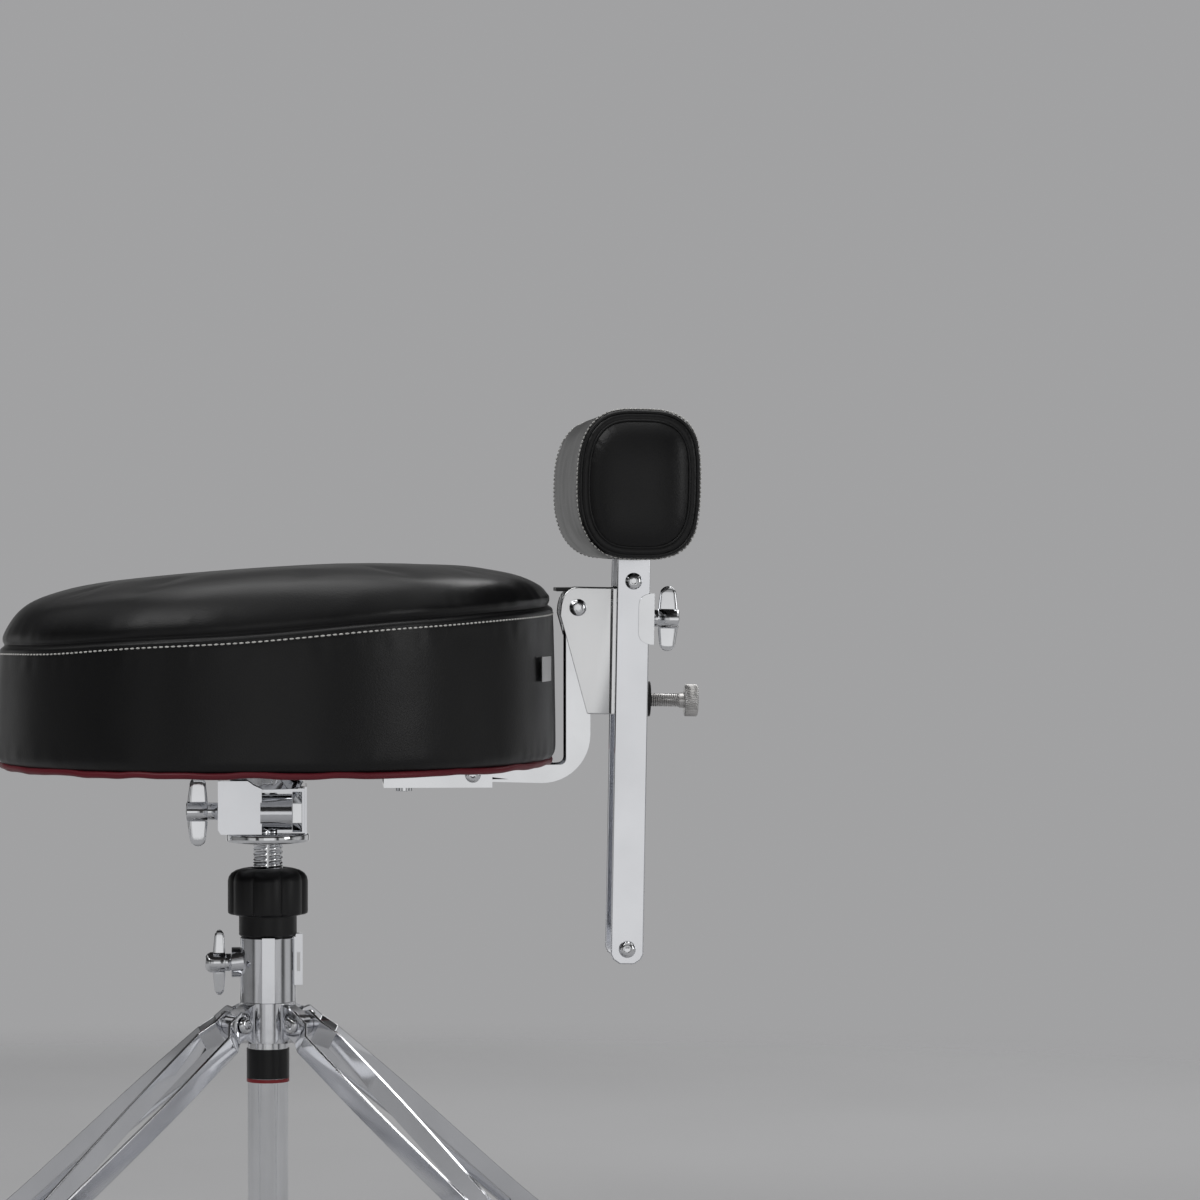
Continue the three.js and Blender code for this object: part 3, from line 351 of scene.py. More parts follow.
def piece(
    name: str, mesh: bpy.types.Mesh, finish: str | None, body: str, *replaced: str
) -> bpy.types.Object:
    """Puts a finished mesh in the scene as one piece of the throne.

    Args:
        name: the piece's name.
        mesh: its mesh, in place.
        finish: the name of its finish, or None where the mesh has its materials already.
        body: the body that it moves with.
        replaced: the frame's nodes that it stands for.

    Returns:
        The piece.
    """
    mesh.name = name
    made = bpy.data.objects.new(name, mesh)
    bpy.context.scene.collection.objects.link(made)
    if finish:
        mesh.materials.clear()
        mesh.materials.append(material(finish))
    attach(made, body)
    if replaced:
        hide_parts(*replaced)
    LOG.info("%s: %d faces on %s", name, len(mesh.polygons), body)
    return made


def body_of(node: str) -> str:
    """The body that a node of the frame belongs to."""
    return frame["nodes"][node]["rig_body"]


def loft(rings: Sequence[Ring], closed: bool = False, sharp: float = 40.0) -> bpy.types.Mesh:
    """Joins rings of equal length into one smooth skin.

    Args:
        rings: the rings, each listed anticlockwise about the direction from first to last.
        closed: join the last ring to the first one instead of capping both.
        sharp: edges over this angle, in degrees, stay sharp.

    Returns:
        The mesh, with its faces pointing outwards.
    """
    work = bmesh.new()
    rows = [[work.verts.new(point) for point in ring] for ring in rings]
    pairs = list(zip(rows, rows[1:] + ([rows[0]] if closed else [])))
    for low, high in pairs if closed else pairs[: len(rows) - 1]:
        for i, start in enumerate(low):
            j = (i + 1) % len(low)
            work.faces.new((start, low[j], high[j], high[i]))
    if not closed:
        for row in (rows[0], rows[-1]):
            middle = work.verts.new(sum((v.co for v in row), Vector()) / len(row))
            for i, start in enumerate(row):
                work.faces.new((start, row[(i + 1) % len(row)], middle))
    bmesh.ops.recalc_face_normals(work, faces=work.faces)
    return finished(work, sharp)


def finished(work: bmesh.types.BMesh, sharp: float = 40.0) -> bpy.types.Mesh:
    """A smooth-shaded mesh from a bmesh, with edges over an angle in degrees kept sharp."""
    for face in work.faces:
        face.smooth = True
    mesh = bpy.data.meshes.new("mesh")
    work.to_mesh(mesh)
    work.free()
    mesh.set_sharp_from_angle(angle=math.radians(sharp))
    return mesh


def evaluated(mesh: bpy.types.Mesh, *modifiers: tuple[str, dict]) -> bpy.types.Mesh:
    """A mesh after some modifiers.

    Args:
        mesh: the mesh that they work on.
        modifiers: each a modifier's type and its settings.

    Returns:
        The resulting plain mesh.
    """
    carrier = bpy.data.objects.new("carrier", mesh)
    bpy.context.scene.collection.objects.link(carrier)
    for kind, settings in modifiers:
        modifier = carrier.modifiers.new(kind, kind)
        for name, value in settings.items():
            setattr(modifier, name, value)
    graph = bpy.context.evaluated_depsgraph_get()
    result = bpy.data.meshes.new_from_object(carrier.evaluated_get(graph), depsgraph=graph)
    bpy.data.objects.remove(carrier)
    return result


def turned_rings(
    profile: Sequence[tuple[float, float]],
    place: Matrix,
    sides: int = 64,
    wave: Callable[[float, float, float], float] | None = None,
) -> list[Ring]:
    """Rings of a turned shape about the local Z axis.

    Args:
        profile: radius and height pairs.
        place: the matrix that puts the shape on the throne.
        sides: points in each ring.
        wave: changes a radius by its own value, height and turn, or None.

    Returns:
        One ring for each pair.
    """
    rings = []
    for radius, height in profile:
        ring = []
        for i in range(sides):
            turn = math.tau * i / sides
            reach = wave(radius, height, turn) if wave else radius
            ring.append(place @ Vector((reach * math.cos(turn), reach * math.sin(turn), height)))
        rings.append(ring)
    return rings


def axis_place(origin: Vector, direction: Vector) -> Matrix:
    """A matrix whose local Z runs along a direction from an origin."""
    turn = Vector((0, 0, 1)).rotation_difference(direction).to_matrix().to_4x4()
    return Matrix.Translation(origin) @ turn


def dressed(
    node: str, finish: str, edge: float = 0.4 * MM, free: bool = False, sharp: float = 32.0
) -> bpy.types.Object:
    """A node of the frame with its facets merged, its edges eased and a real finish.

    Args:
        node: the frame's node.
        finish: the name of its finish.
        edge: width of the eased edges.
        free: ease a plain plate by the full width, whatever its shortest edge.
        sharp: edges over this angle, in degrees, are eased.

    Returns:
        The piece that stands for the node.
    """
    work = bmesh.new()
    work.from_mesh(frame["nodes"][node].data)
    bmesh.ops.remove_doubles(work, verts=work.verts, dist=5e-6)
    bmesh.ops.dissolve_limit(
        work, angle_limit=math.radians(0.6), verts=work.verts, edges=work.edges, delimit={"NORMAL"}
    )
    mesh = finished(work, sharp)
    if edge:
        eased = {
            "width": edge,
            "segments": 3,
            "limit_method": "ANGLE",
            "angle_limit": math.radians(sharp),
            "use_clamp_overlap": not free,
            "harden_normals": True,
        }
        mesh = evaluated(mesh, ("BEVEL", eased))
    return piece(f"{node}_finished", mesh, finish, body_of(node), node)


# ---- Geometry Nodes ---------------------------------------------------------------------------


class Tree:
    """A geometry tree with named inputs, run once on a source mesh."""

    def __init__(self, name: str, inputs: dict[str, str]) -> None:
        """Starts the tree.

        Args:
            name: the tree's name.
            inputs: input names and their socket types, after the geometry itself.
        """
        self.tree = bpy.data.node_groups.new(name, "GeometryNodeTree")
        face = self.tree.interface
        face.new_socket("Geometry", in_out="INPUT", socket_type="NodeSocketGeometry")
        self.ids = {
            label: face.new_socket(label, in_out="INPUT", socket_type=kind).identifier
            for label, kind in inputs.items()
        }
        face.new_socket("Geometry", in_out="OUTPUT", socket_type="NodeSocketGeometry")
        self.graph = Graph(self.tree)
        self.source = self.graph.add("NodeGroupInput")

    def end(self, instances: bpy.types.NodeSocket) -> None:
        """Realizes the instances, sets the material and closes the tree."""
        real = self.graph.add("GeometryNodeRealizeInstances", {"Geometry": instances})
        shaded = self.graph.add(
            "GeometryNodeSetMaterial",
            {"Geometry": real.outputs[0], "Material": self.source.outputs["Material"]},
        )
        self.graph.add("NodeGroupOutput", {"Geometry": shaded.outputs[0]})

    def run(self, source: bpy.types.Mesh, values: dict[str, object]) -> bpy.types.Mesh:
        """Evaluates the tree on a mesh.

        Args:
            source: the mesh that it starts from.
            values: the inputs' values by name.

        Returns:
            The plain result.
        """
        carrier = bpy.data.objects.new("carrier", source)
        bpy.context.scene.collection.objects.link(carrier)
        modifier = carrier.modifiers.new("tree", "NODES")
        modifier.node_group = self.tree
        for label, value in values.items():
            modifier[self.ids[label]] = value
        graph = bpy.context.evaluated_depsgraph_get()
        result = bpy.data.meshes.new_from_object(carrier.evaluated_get(graph), depsgraph=graph)
        carrier.modifiers.remove(modifier)
        bpy.data.objects.remove(carrier)
        for face in result.polygons:
            face.use_smooth = True
        return result


class StitchRun(Tree):
    """Short thread stitches at an even pitch along a line of edges."""

    def __init__(self) -> None:
        """Builds the tree: resample, align, instance."""
        super().__init__(
            "stitch_run",
            {
                "Pitch": "NodeSocketFloat",
                "Length": "NodeSocketFloat",
                "Thickness": "NodeSocketFloat",
                "Material": "NodeSocketMaterial",
            },
        )
        add, own = self.graph.add, self.source.outputs
        line = add("GeometryNodeMeshToCurve", {"Mesh": own["Geometry"]})
        points = add(
            "GeometryNodeCurveToPoints",
            {"Curve": line.outputs[0], "Length": own["Pitch"]},
            mode="LENGTH",
        )
        turn = add(
            "FunctionNodeAlignRotationToVector", {"Vector": points.outputs["Tangent"]}, axis="X"
        )
        bead = add("GeometryNodeMeshUVSphere", {"Segments": 8, "Rings": 6, "Radius": 0.5})
        size = add(
            "ShaderNodeCombineXYZ",
            {"X": own["Length"], "Y": own["Thickness"], "Z": own["Thickness"]},
        )
        beads = add(
            "GeometryNodeInstanceOnPoints",
            {
                "Points": points.outputs["Points"],
                "Instance": bead.outputs[0],
                "Rotation": turn.outputs[0],
                "Scale": size.outputs[0],
            },
        )
        self.end(beads.outputs[0])


class WeltRun(Tree):
    """A round cord swept along a closed line of edges."""

    def __init__(self) -> None:
        """Builds the tree: curve, round profile, sweep."""
        super().__init__(
            "welt_run", {"Radius": "NodeSocketFloat", "Material": "NodeSocketMaterial"}
        )
        add, own = self.graph.add, self.source.outputs
        line = add("GeometryNodeMeshToCurve", {"Mesh": own["Geometry"]})
        section = add(
            "GeometryNodeCurvePrimitiveCircle", {"Resolution": 12, "Radius": own["Radius"]}
        )
        sweep = add(
            "GeometryNodeCurveToMesh",
            {"Curve": line.outputs[0], "Profile Curve": section.outputs[0], "Fill Caps": True},
        )
        self.end(sweep.outputs[0])


def line_mesh(points: Sequence[Vector], closed: bool = True) -> bpy.types.Mesh:
    """A mesh of edges through some points."""
    count = len(points)
    edges = [(i, (i + 1) % count) for i in range(count if closed else count - 1)]
    mesh = bpy.data.meshes.new("line")
    mesh.from_pydata([tuple(point) for point in points], edges, [])
    return mesh


# ---- Upholstery -------------------------------------------------------------------------------


def inflated(
    mesh: bpy.types.Mesh, held: Sequence[int], pressure: float, cap: float
) -> bpy.types.Mesh:
    """Lets a closed skin swell under its stuffing while its sewn lines stay put.

    Args:
        mesh: the skin.
        held: the vertices on sewn lines and on the board.
        pressure: the stuffing's push.
        cap: how far a point may move.

    Returns:
        The swollen skin, with the same vertices.
    """
    scene = bpy.context.scene
    start = np.array([vertex.co for vertex in mesh.vertices])
    carrier = bpy.data.objects.new("carrier", mesh)
    scene.collection.objects.link(carrier)
    group = carrier.vertex_groups.new(name="held")
    group.add(list(held), 1.0, "REPLACE")
    cloth = carrier.modifiers.new("cloth", "CLOTH")
    cloth.settings.quality = 5
    cloth.settings.mass = 0.35
    cloth.settings.tension_stiffness = 25
    cloth.settings.compression_stiffness = 25
    cloth.settings.shear_stiffness = 12
    cloth.settings.bending_stiffness = 1.5
    cloth.settings.use_pressure = True
    cloth.settings.uniform_pressure_force = pressure
    cloth.settings.vertex_group_mass = "held"
    cloth.settings.effector_weights.gravity = 0.0
    cloth.point_cache.frame_start = 1
    cloth.point_cache.frame_end = 20
    for step in range(1, 21):
        scene.frame_set(step)
    graph = bpy.context.evaluated_depsgraph_get()
    swollen = np.array([vertex.co for vertex in carrier.evaluated_get(graph).data.vertices])
    scene.frame_set(1)
    bpy.data.objects.remove(carrier)
    shift = swollen - start
    length = np.linalg.norm(shift, axis=1, keepdims=True)
    soft = cap * np.tanh(length / cap) / np.maximum(length, 1e-9)
    moved = start + shift * soft
    mesh.vertices.foreach_set("co", moved.astype(np.float32).ravel())
    mesh.update()
    LOG.info("swelled: mean %.2f mm, most %.2f mm", length.mean() / MM, length.max() / MM)
    return mesh


def subdivided(mesh: bpy.types.Mesh, levels: int = 1) -> bpy.types.Mesh:
    """A mesh with Subdivision Surface applied."""
    return evaluated(mesh, ("SUBSURF", {"levels": levels, "render_levels": levels}))


def surface_point(tree: BVHTree, inside: Vector, outside: Vector, proud: float) -> Vector:
    """Where a ray from outside to inside meets a skin, moved out by a height."""
    way = (inside - outside).normalized()
    hit = tree.ray_cast(outside, way)[0]
    return (hit if hit is not None else inside) - way * proud


@dataclass
class SeatCushion:
    """The seat: a boxed wall, a rolled top panel, a sewn crease, stitches, piping and a tag."""

    half: float = 245 * MM
    front: float = 197 * MM
    rear: float = 203 * MM
    square: float = 0.86
    rear_square: float = 0.92
    notch: float = 22 * MM
    notch_width: float = 0.28
    seam_height: float = 481 * MM  # the stitch line beside the post
    seam_slope: float = 0.072
    seam_wave: float = 2.2 * MM
    crease_rise: float = 6.0 * MM
    crown: float = 527.4 * MM
    crown_at: float = 75 * MM
    front_fall: float = 6.4 * MM
    fall_reach: float = 123 * MM
    bottom: float = 391.8 * MM
    board_top: float = 403.9 * MM
    around: int = 192
    pitch: float = 4.1 * MM
    welt: float = 2.3 * MM
    post: Vector = field(default_factory=lambda: post_axis())

    def rim(self, inset: float, turn: float) -> Vector:
        """A point of the plan, drawn in by an inset.

        Args:
            inset: how far inside the outer edge.
            turn: the angle about the post.

        Returns:
            The point, at height zero, from the post.
        """
        depth = self.rear if math.sin(turn) > 0 else self.front
        power = self.rear_square if math.sin(turn) > 0 else self.square
        x = math.copysign(abs(math.cos(turn)) ** power, math.cos(turn))
        y = math.copysign(abs(math.sin(turn)) ** power, math.sin(turn))
        pull = self.notch * math.exp(-((x / self.notch_width) ** 2)) if y < 0 else 0.0
        share = 1 - inset / self.front
        return Vector(((self.half - inset) * x, (depth - inset) * y + pull * share, 0))

    def seam(self, place: Vector) -> float:
        """Height of the slightly wavy stitch line by a point of the wall."""
        wave = noise.noise(Vector((place.x * 9, place.y * 9, 3.7)))
        return self.seam_height + self.seam_slope * place.y + wave * self.seam_wave

    def top(self, y: float) -> float:
        """Height of the crown at a depth."""
        ahead = self.crown_at - y
        if ahead > 0:
            return self.crown - self.front_fall * (ahead / self.fall_reach) ** 1.6
        return self.crown - 2.0 * MM * (ahead / self.fall_reach) ** 2

    def turns(self, count: int) -> list[float]:
        """Even turns about the post, offset so that none is at a corner of the formula."""
        return [math.tau * (i + 0.5) / count for i in range(count)]

    def ring(self, inset: float, height: Callable[[Vector], float]) -> Ring:
        """One ring of the skin at an inset, its height given by its own place."""
        ring = []
        for turn in self.turns(self.around):
            point = self.rim(inset, turn)
            point.z = height(point)
            ring.append(point + self.post)
        return ring

    def rings(self) -> tuple[list[Ring], list[int]]:
        """Every ring of the skin from under the board to the middle of the top.

        Returns:
            The rings, and the indices of those that are sewn or glued.
        """
        inner, low = 13.6 * MM, self.bottom
        rings = [self.ring(inset * MM, lambda p: self.board_top) for inset in (120, 60, 20)]
        rings += [self.ring(inner, lambda p: self.board_top), self.ring(inner, lambda p: low)]
        rings += [
            self.ring(inset * MM, lambda p, z=rise: low + z * MM)
            for inset, rise in ((10.5, 0.3), (7.5, 1.0), (4.6, 2.6), (2.6, 5.0), (1.4, 8.0))
        ]
        held = list(range(len(rings)))
        wall = (0.14, 0.24, 0.34, 0.44, 0.54, 0.64, 0.74, 0.83, 0.9)
        rings += [
            self.ring(
                (1.2 + 2.0 * share**2) * MM,
                lambda p, s=share: low + (self.seam(p) - low) * s,
            )
            for share in wall
        ]
        edge = ((3.0, -4.0), (3.0, -1.8), (3.5, 0.0), (3.1, 1.8), (3.7, 3.6), (5.4, 4.9))
        edge += ((7.4, 6.0), (6.2, 7.4), (5.4, 9.4), (5.5, 12.0))
        start = len(rings)
        rings += [
            self.ring(inset * MM, lambda p, z=rise: self.seam(p) + z * MM) for inset, rise in edge
        ]
        held += range(start + 1, start + 8)
        for inset in (7.0, 9, 12, 16, 21, 27, 34, 42, 52, 64, 78, 94, 112, 130, 148, 164, 178):
            swell = 1 - math.exp(-(inset - 3.2) / 11.0)
            rings.append(self.ring(inset * MM, lambda p, s=swell: self.panel(p, s)))
        return rings, held

    def panel(self, point: Vector, swell: float) -> float:
        """Height of the top panel where it has risen by a share of its full height."""
        crease = self.seam(point) + self.crease_rise
        return crease + (self.top(point.y) - crease) * swell

    def skin(self) -> bpy.types.Mesh:
        """The swollen, creased and puckered skin."""
        rings, held = self.rings()
        mesh = loft(rings)
        count = self.around
        fixed = [ring * count + i for ring in held for i in range(count)] + [len(rings) * count]
        mesh = inflated(mesh, fixed, 0.8, 2.3 * MM)
        mesh = subdivided(mesh)
        self.pucker(mesh)
        return mesh

    def pucker(self, mesh: bpy.types.Mesh) -> None:
        """Draws the vinyl into short folds beside the stitches and soft dents elsewhere."""
        normals = [vertex.normal.copy() for vertex in mesh.vertices]
        for vertex, normal in zip(mesh.vertices, normals):
            local = vertex.co - self.post
            away = (local.z - self.seam(local)) / MM
            turn = math.atan2(local.y / self.rear, local.x / self.half)
            fold = noise.noise(Vector((math.cos(turn) * 26, math.sin(turn) * 26, away * 0.03)))
            near = math.exp(-(((away + 7) / 7) ** 2)) + 0.8 * math.exp(-(((away - 14) / 7) ** 2))
            under = math.exp(-(((local.z - self.bottom) / MM - 9) / 7) ** 2)
            broad = noise.noise(local * 13.0) * 0.7 + noise.noise(local * 31.0) * 0.3
            lift = fold * (0.55 * near + 0.5 * under) + broad * 0.5
            vertex.co += normal * (lift * MM)
        mesh.update()

    def line(self, tree: BVHTree, rise: Callable[[Vector], float], proud: float) -> Ring:
        """A closed line on the skin at a height, standing proud of it."""
        ring = []
        for turn in self.turns(4 * self.around):
            outer, inner = self.rim(-20 * MM, turn), self.rim(40 * MM, turn)
            height = rise(self.rim(3 * MM, turn))
            outer.z = inner.z = height
            ring.append(surface_point(tree, inner + self.post, outer + self.post, proud))
        return ring

    def build(self, stitches: StitchRun, welts: WeltRun) -> None:
        """Makes the cushion and everything sewn to it."""
        mesh = self.skin()
        cushion = piece("seat_upholstery", mesh, "seat_vinyl", "seat", "seat_cushion")
        tree = BVHTree.FromPolygons(
            [v.co.copy() for v in mesh.vertices], [list(p.vertices) for p in mesh.polygons]
        )
        line = self.line(tree, self.seam, 0.1 * MM)
        thread = stitches.run(
            line_mesh(line),
            {
                "Pitch": self.pitch,
                "Length": 3.2 * MM,
                "Thickness": 1.15 * MM,
                "Material": material("white_thread"),
            },
        )
        piece("seat_stitches", thread, None, "seat")
        self.piping(welts)
        self.tag()

    def piping(self, welts: WeltRun) -> None:
        """The dark red cord sewn in under the wall, drawn slightly wavy by its thread."""
        ring = []
        for turn in self.turns(3 * self.around):
            point = self.rim(5.4 * MM, turn)
            wave = noise.noise(Vector((math.cos(turn) * 10, math.sin(turn) * 10, 0.5)))
            point.z = self.bottom + (1.0 + 1.6 * wave) * MM
            ring.append(point + self.post)
        cord = welts.run(
            line_mesh(ring), {"Radius": self.welt, "Material": material("piping_vinyl")}
        )
        piece("seat_piping", cord, None, "seat")

    def tag(self) -> None:
        """A small plain woven tag on the rear wall."""
        turn = math.radians(69)
        base, ahead = self.rim(0, turn), self.rim(0, turn + 0.02)
        along = (ahead - base).normalized()
        out = Vector((along.y, -along.x, 0))
        work = bmesh.new()
        place = Matrix.Translation(base + self.post + Vector((0, 0, 458 * MM)) + out * 0.6 * MM)
        turn_to = Matrix((along, out, Vector((0, 0, 1)))).transposed().to_4x4()
        bmesh.ops.create_cube(work, size=1.0, matrix=place @ turn_to @ Matrix.Diagonal(
            (25 * MM, 0.9 * MM, 17 * MM, 1)))
        bmesh.ops.bevel(
            work, geom=work.edges[:], offset=0.3 * MM, segments=2, profile=0.5, affect="EDGES"
        )
        piece("seat_tag", finished(work), "woven_tag", "seat")


def post_axis() -> Vector:
    """The post's axis at floor level."""
    low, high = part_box("base_tube")
    return Vector(((low.x + high.x) / 2, (low.y + high.y) / 2, 0))


@dataclass
class BackPad:
    """The bolster: a boxed body, two end caps with double welts and stitches, and a pocket."""

    lean: float = math.radians(1)
    square: float = 0.62  # 1 is an ellipse, less is squarer
    tuck_low: float = 0.16  # how far the front corners draw in
    tuck_high: float = 0.1
    around: int = 144
    pitch: float = 3.1 * MM
    outer_welt: float = 1.2 * MM
    inner_welt: float = 0.85 * MM

    def __post_init__(self) -> None:
        """Takes the pad's box and its leaning axes from the frame."""
        low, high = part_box("pad_cushion")
        self.middle = (low + high) / 2
        self.size = high - low
        self.half = self.size.x / 2
        self.turn = Matrix.Rotation(-self.lean, 4, "X")

    def place(self, x: float, y: float, z: float) -> Vector:
        """A point of the leaning pad in the throne's frame."""
        return self.middle + (self.turn @ Vector((x, y, z)))

    def section(self, x: float, inset: float) -> Ring:
        """A squared-off ellipse across the pad.

        Args:
            x: its station.
            inset: how far it is drawn in.

        Returns:
            The ring of points.
        """
        ring = []
        for i in range(self.around):
            turn = math.tau * (i + 0.5) / self.around
            c, s = math.cos(turn), math.sin(turn)
            draw = min(inset, 12 * MM) + max(0.0, inset - 12 * MM) * 0.77
            y = (self.size.y / 2 - draw) * math.copysign(abs(c) ** self.square, c)
            z = (self.size.z / 2 - inset) * math.copysign(abs(s) ** self.square, s)
            if y < 0:
                y *= 1 - (self.tuck_low if z < 0 else self.tuck_high) * (2 * z / self.size.z) ** 2
            ring.append(self.place(x, y, z))
        return ring

    def rings(self) -> tuple[list[Ring], list[int]]:
        """Every ring from one end cap's middle to the other's, and the sewn ones."""
        cap = ((4.5, 40), (4.2, 34), (3.4, 26), (2.2, 19), (1.0, 14.5), (-0.4, 11.4), (-1.6, 9.6))
        cap += ((-2.3, 8.6),)
        cap += ((-1.9, 7.6), (-1.7, 6.2), (-2.0, 4.8), (-2.8, 3.7), (-3.9, 3.0), (-4.8, 2.2))
        cap += ((-6.0, 1.4), (-7.6, 1.1), (-9.4, 0.8))
        end = [(self.half + rise * MM, inset * MM) for rise, inset in cap]
        body = [share * (self.half - 13 * MM) for share in np.linspace(1, -1, 31)]
        stations = end + [(x, 0.6 * MM) for x in body] + [(-x, inset) for x, inset in end[::-1]]
        held = [i for i, (x, inset) in enumerate(stations) if 1.0 * MM < inset < 10 * MM]
        return [self.section(x, inset) for x, inset in stations], held

    def skin(self) -> bpy.types.Mesh:
        """The swollen and puckered skin, with the pocket cut for the bars."""
        rings, held = self.rings()
        mesh = loft(rings)
        fixed = [ring * self.around + i for ring in held for i in range(self.around)]
        mesh = inflated(mesh, fixed, 2.0, 2.5 * MM)
        mesh = subdivided(mesh)
        self.pucker(mesh)
        return self.pocketed(mesh)

    def pucker(self, mesh: bpy.types.Mesh) -> None:
        """Short folds by the end seams, soft dents along the body."""
        back = self.turn.inverted()
        normals = [vertex.normal.copy() for vertex in mesh.vertices]
        for vertex, normal in zip(mesh.vertices, normals):
            local = back @ (vertex.co - self.middle)
            turn = math.atan2(local.z, local.y)
            inward = (self.half - abs(local.x)) / MM
            side = math.copysign(3.0, local.x)
            fold = noise.noise(Vector((math.cos(turn) * 11, math.sin(turn) * 11, side)))
            near = math.exp(-(((inward - 11) / 8) ** 2))
            broad = noise.noise(local * 17.0) * 0.7 + noise.noise(local * 38.0) * 0.3
            vertex.co += normal * ((fold * 0.8 * near + broad * 0.55) * MM)
        mesh.update()

    def pocketed(self, mesh: bpy.types.Mesh) -> bpy.types.Mesh:
        """Cuts the pocket that the bars and their bracket go up into."""
        left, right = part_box("bar_left"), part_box("bar_bolt_top")
        work = bmesh.new()
        low = Vector((right[0].x - 1.5 * MM, left[0].y, self.middle.z - self.size.z))
        high = Vector((right[1].x + 1.5 * MM, left[1].y, left[1].z + 2 * MM))
        centre, size = (low + high) / 2, high - low
        place = Matrix.Translation(centre) @ Matrix.Diagonal((*size, 1))
        bmesh.ops.create_cube(work, size=1.0, matrix=place)
        tool = bpy.data.objects.new("pocket_tool", finished(work))
        bpy.context.scene.collection.objects.link(tool)
        cut = {"operation": "DIFFERENCE", "object": tool, "solver": "EXACT"}
        result = evaluated(mesh, ("BOOLEAN", cut))
        bpy.data.objects.remove(tool)
        return result

    def build(self, stitches: StitchRun, welts: WeltRun) -> None:
        """Makes the bolster, its welts and its stitches."""
        pad = piece("pad_upholstery", self.skin(), "seat_vinyl", "backrest", "pad_cushion")
        for side, name in ((1, "left"), (-1, "right")):
            welts_at = ((-3.2, 3.0, self.outer_welt), (-1.9, 8.6, self.inner_welt))
            for order, (reach, inset, radius) in enumerate(welts_at):
                ring = self.section(side * (self.half + reach * MM), inset * MM)
                cord = welts.run(
                    line_mesh(ring), {"Radius": radius, "Material": material("edge_vinyl")}
                )
                made = piece(f"pad_welt_{name}_{order + 1}", cord, None, "backrest")
            ring = self.section(side * (self.half - 7.2 * MM), 0.75 * MM)
            thread = stitches.run(
                line_mesh(ring),
                {
                    "Pitch": self.pitch,
                    "Length": 2.4 * MM,
                    "Thickness": 1.05 * MM,
                    "Material": material("white_thread"),
                },
            )
            made = piece(f"pad_stitches_{name}", thread, None, "backrest")


# ---- Post, handle and screws ------------------------------------------------------------------


@dataclass
class ThreadedPost:
    """The rolled thread with its key groove, plain where the base tube hides it."""

    pitch: float = 3.9 * MM
    depth: float = 1.2 * MM
    groove_half: float = 0.9 * MM
    groove_depth: float = 1.6 * MM
    sides: int = 84
    steps: int = 12  # rings in one turn of the thread
    hidden: float = 35 * MM  # how far the thread goes on below the tube's mouth

    def build(self) -> None:
        """Makes the rod as one helical surface."""
        low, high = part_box("threaded_rod")
        radius = (high.x - low.x) / 2
        centre = (low + high) / 2
        chamfer = 1.5 * MM
        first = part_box("thread_insert")[1].z - self.hidden
        count = int((high.z - first) / self.pitch * self.steps) + self.steps

        def point(height: float, turn: float) -> Vector:
            """A point of the thread, its groove and its chamfers."""
            phase = abs(2 * ((height / self.pitch - turn / math.tau) % 1.0) - 1)
            reach = radius - self.depth * phase**2.4
            if math.cos(turn) > 0 and abs(math.sin(turn)) * radius < self.groove_half:
                reach = min(reach, radius - self.groove_depth)
            reach = min(reach, radius - max(0.0, chamfer - min(height - low.z, high.z - height)))
            x, y = reach * math.cos(turn), reach * math.sin(turn)
            return Vector((centre.x + x, centre.y + y, height))

        work = bmesh.new()
        turns = [math.tau * j / self.sides for j in range(self.sides)]
        rows = [[work.verts.new(point(low.z, turn)) for turn in turns]]
        for i in range(count + 1):
            climb = [first + self.pitch * (i / self.steps + t / math.tau - 1) for t in turns]
            heights = [min(max(height, first), high.z) for height in climb]
            rows.append([work.verts.new(point(h, turn)) for h, turn in zip(heights, turns)])
        last = len(rows) - 1
        for i, (row, above) in enumerate(zip(rows, rows[1:])):
            for j in range(self.sides):
                k, step = (j + 1) % self.sides, self.steps if j == self.sides - 1 and i else 0
                near, far = rows[min(i + step, last)][k], rows[min(i + 1 + step, last)][k]
                if near is not far:
                    work.faces.new((row[j], near, far, above[j]))
        bmesh.ops.remove_doubles(work, verts=work.verts, dist=1e-6)
        bmesh.ops.holes_fill(work, edges=[e for e in work.edges if e.is_boundary], sides=0)
        bmesh.ops.recalc_face_normals(work, faces=work.faces)
        mesh = finished(work, 75)
        piece("threaded_post", mesh, "polished_chrome", "post", "threaded_rod")


@dataclass
class RodDisc:
    """The cast disc that the seat rests on: a tall polished rim over a dished underside."""

    rim: float = 1.1 * MM
    sides: int = 128

    def build(self) -> None:
        """Makes the disc as one turned skin around the rod."""
        low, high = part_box("rod_disc")
        grip = (high.x - low.x) / 2
        bore = (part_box("threaded_rod")[1].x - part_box("threaded_rod")[0].x) / 2
        centre = (low + high) / 2
        place = Matrix.Translation((centre.x, centre.y, 0))
        profile = [
            (bore, low.z + 0.2 * MM),
            (grip - 9 * MM, low.z),
            (grip - 2.6 * MM, low.z),
            (grip - self.rim, low.z + 0.35 * self.rim),
            (grip - 0.3 * self.rim, low.z + 0.9 * self.rim),
            (grip, low.z + 1.6 * self.rim),
            (grip, high.z - self.rim),
            (grip - 0.3 * self.rim, high.z - 0.3 * self.rim),
            (grip - self.rim, high.z),
            (bore, high.z),
        ]
        mesh = loft(turned_rings(profile, place, self.sides), closed=True, sharp=60)
        piece("rod_disc_turned", mesh, "polished_chrome", "post", "rod_disc")


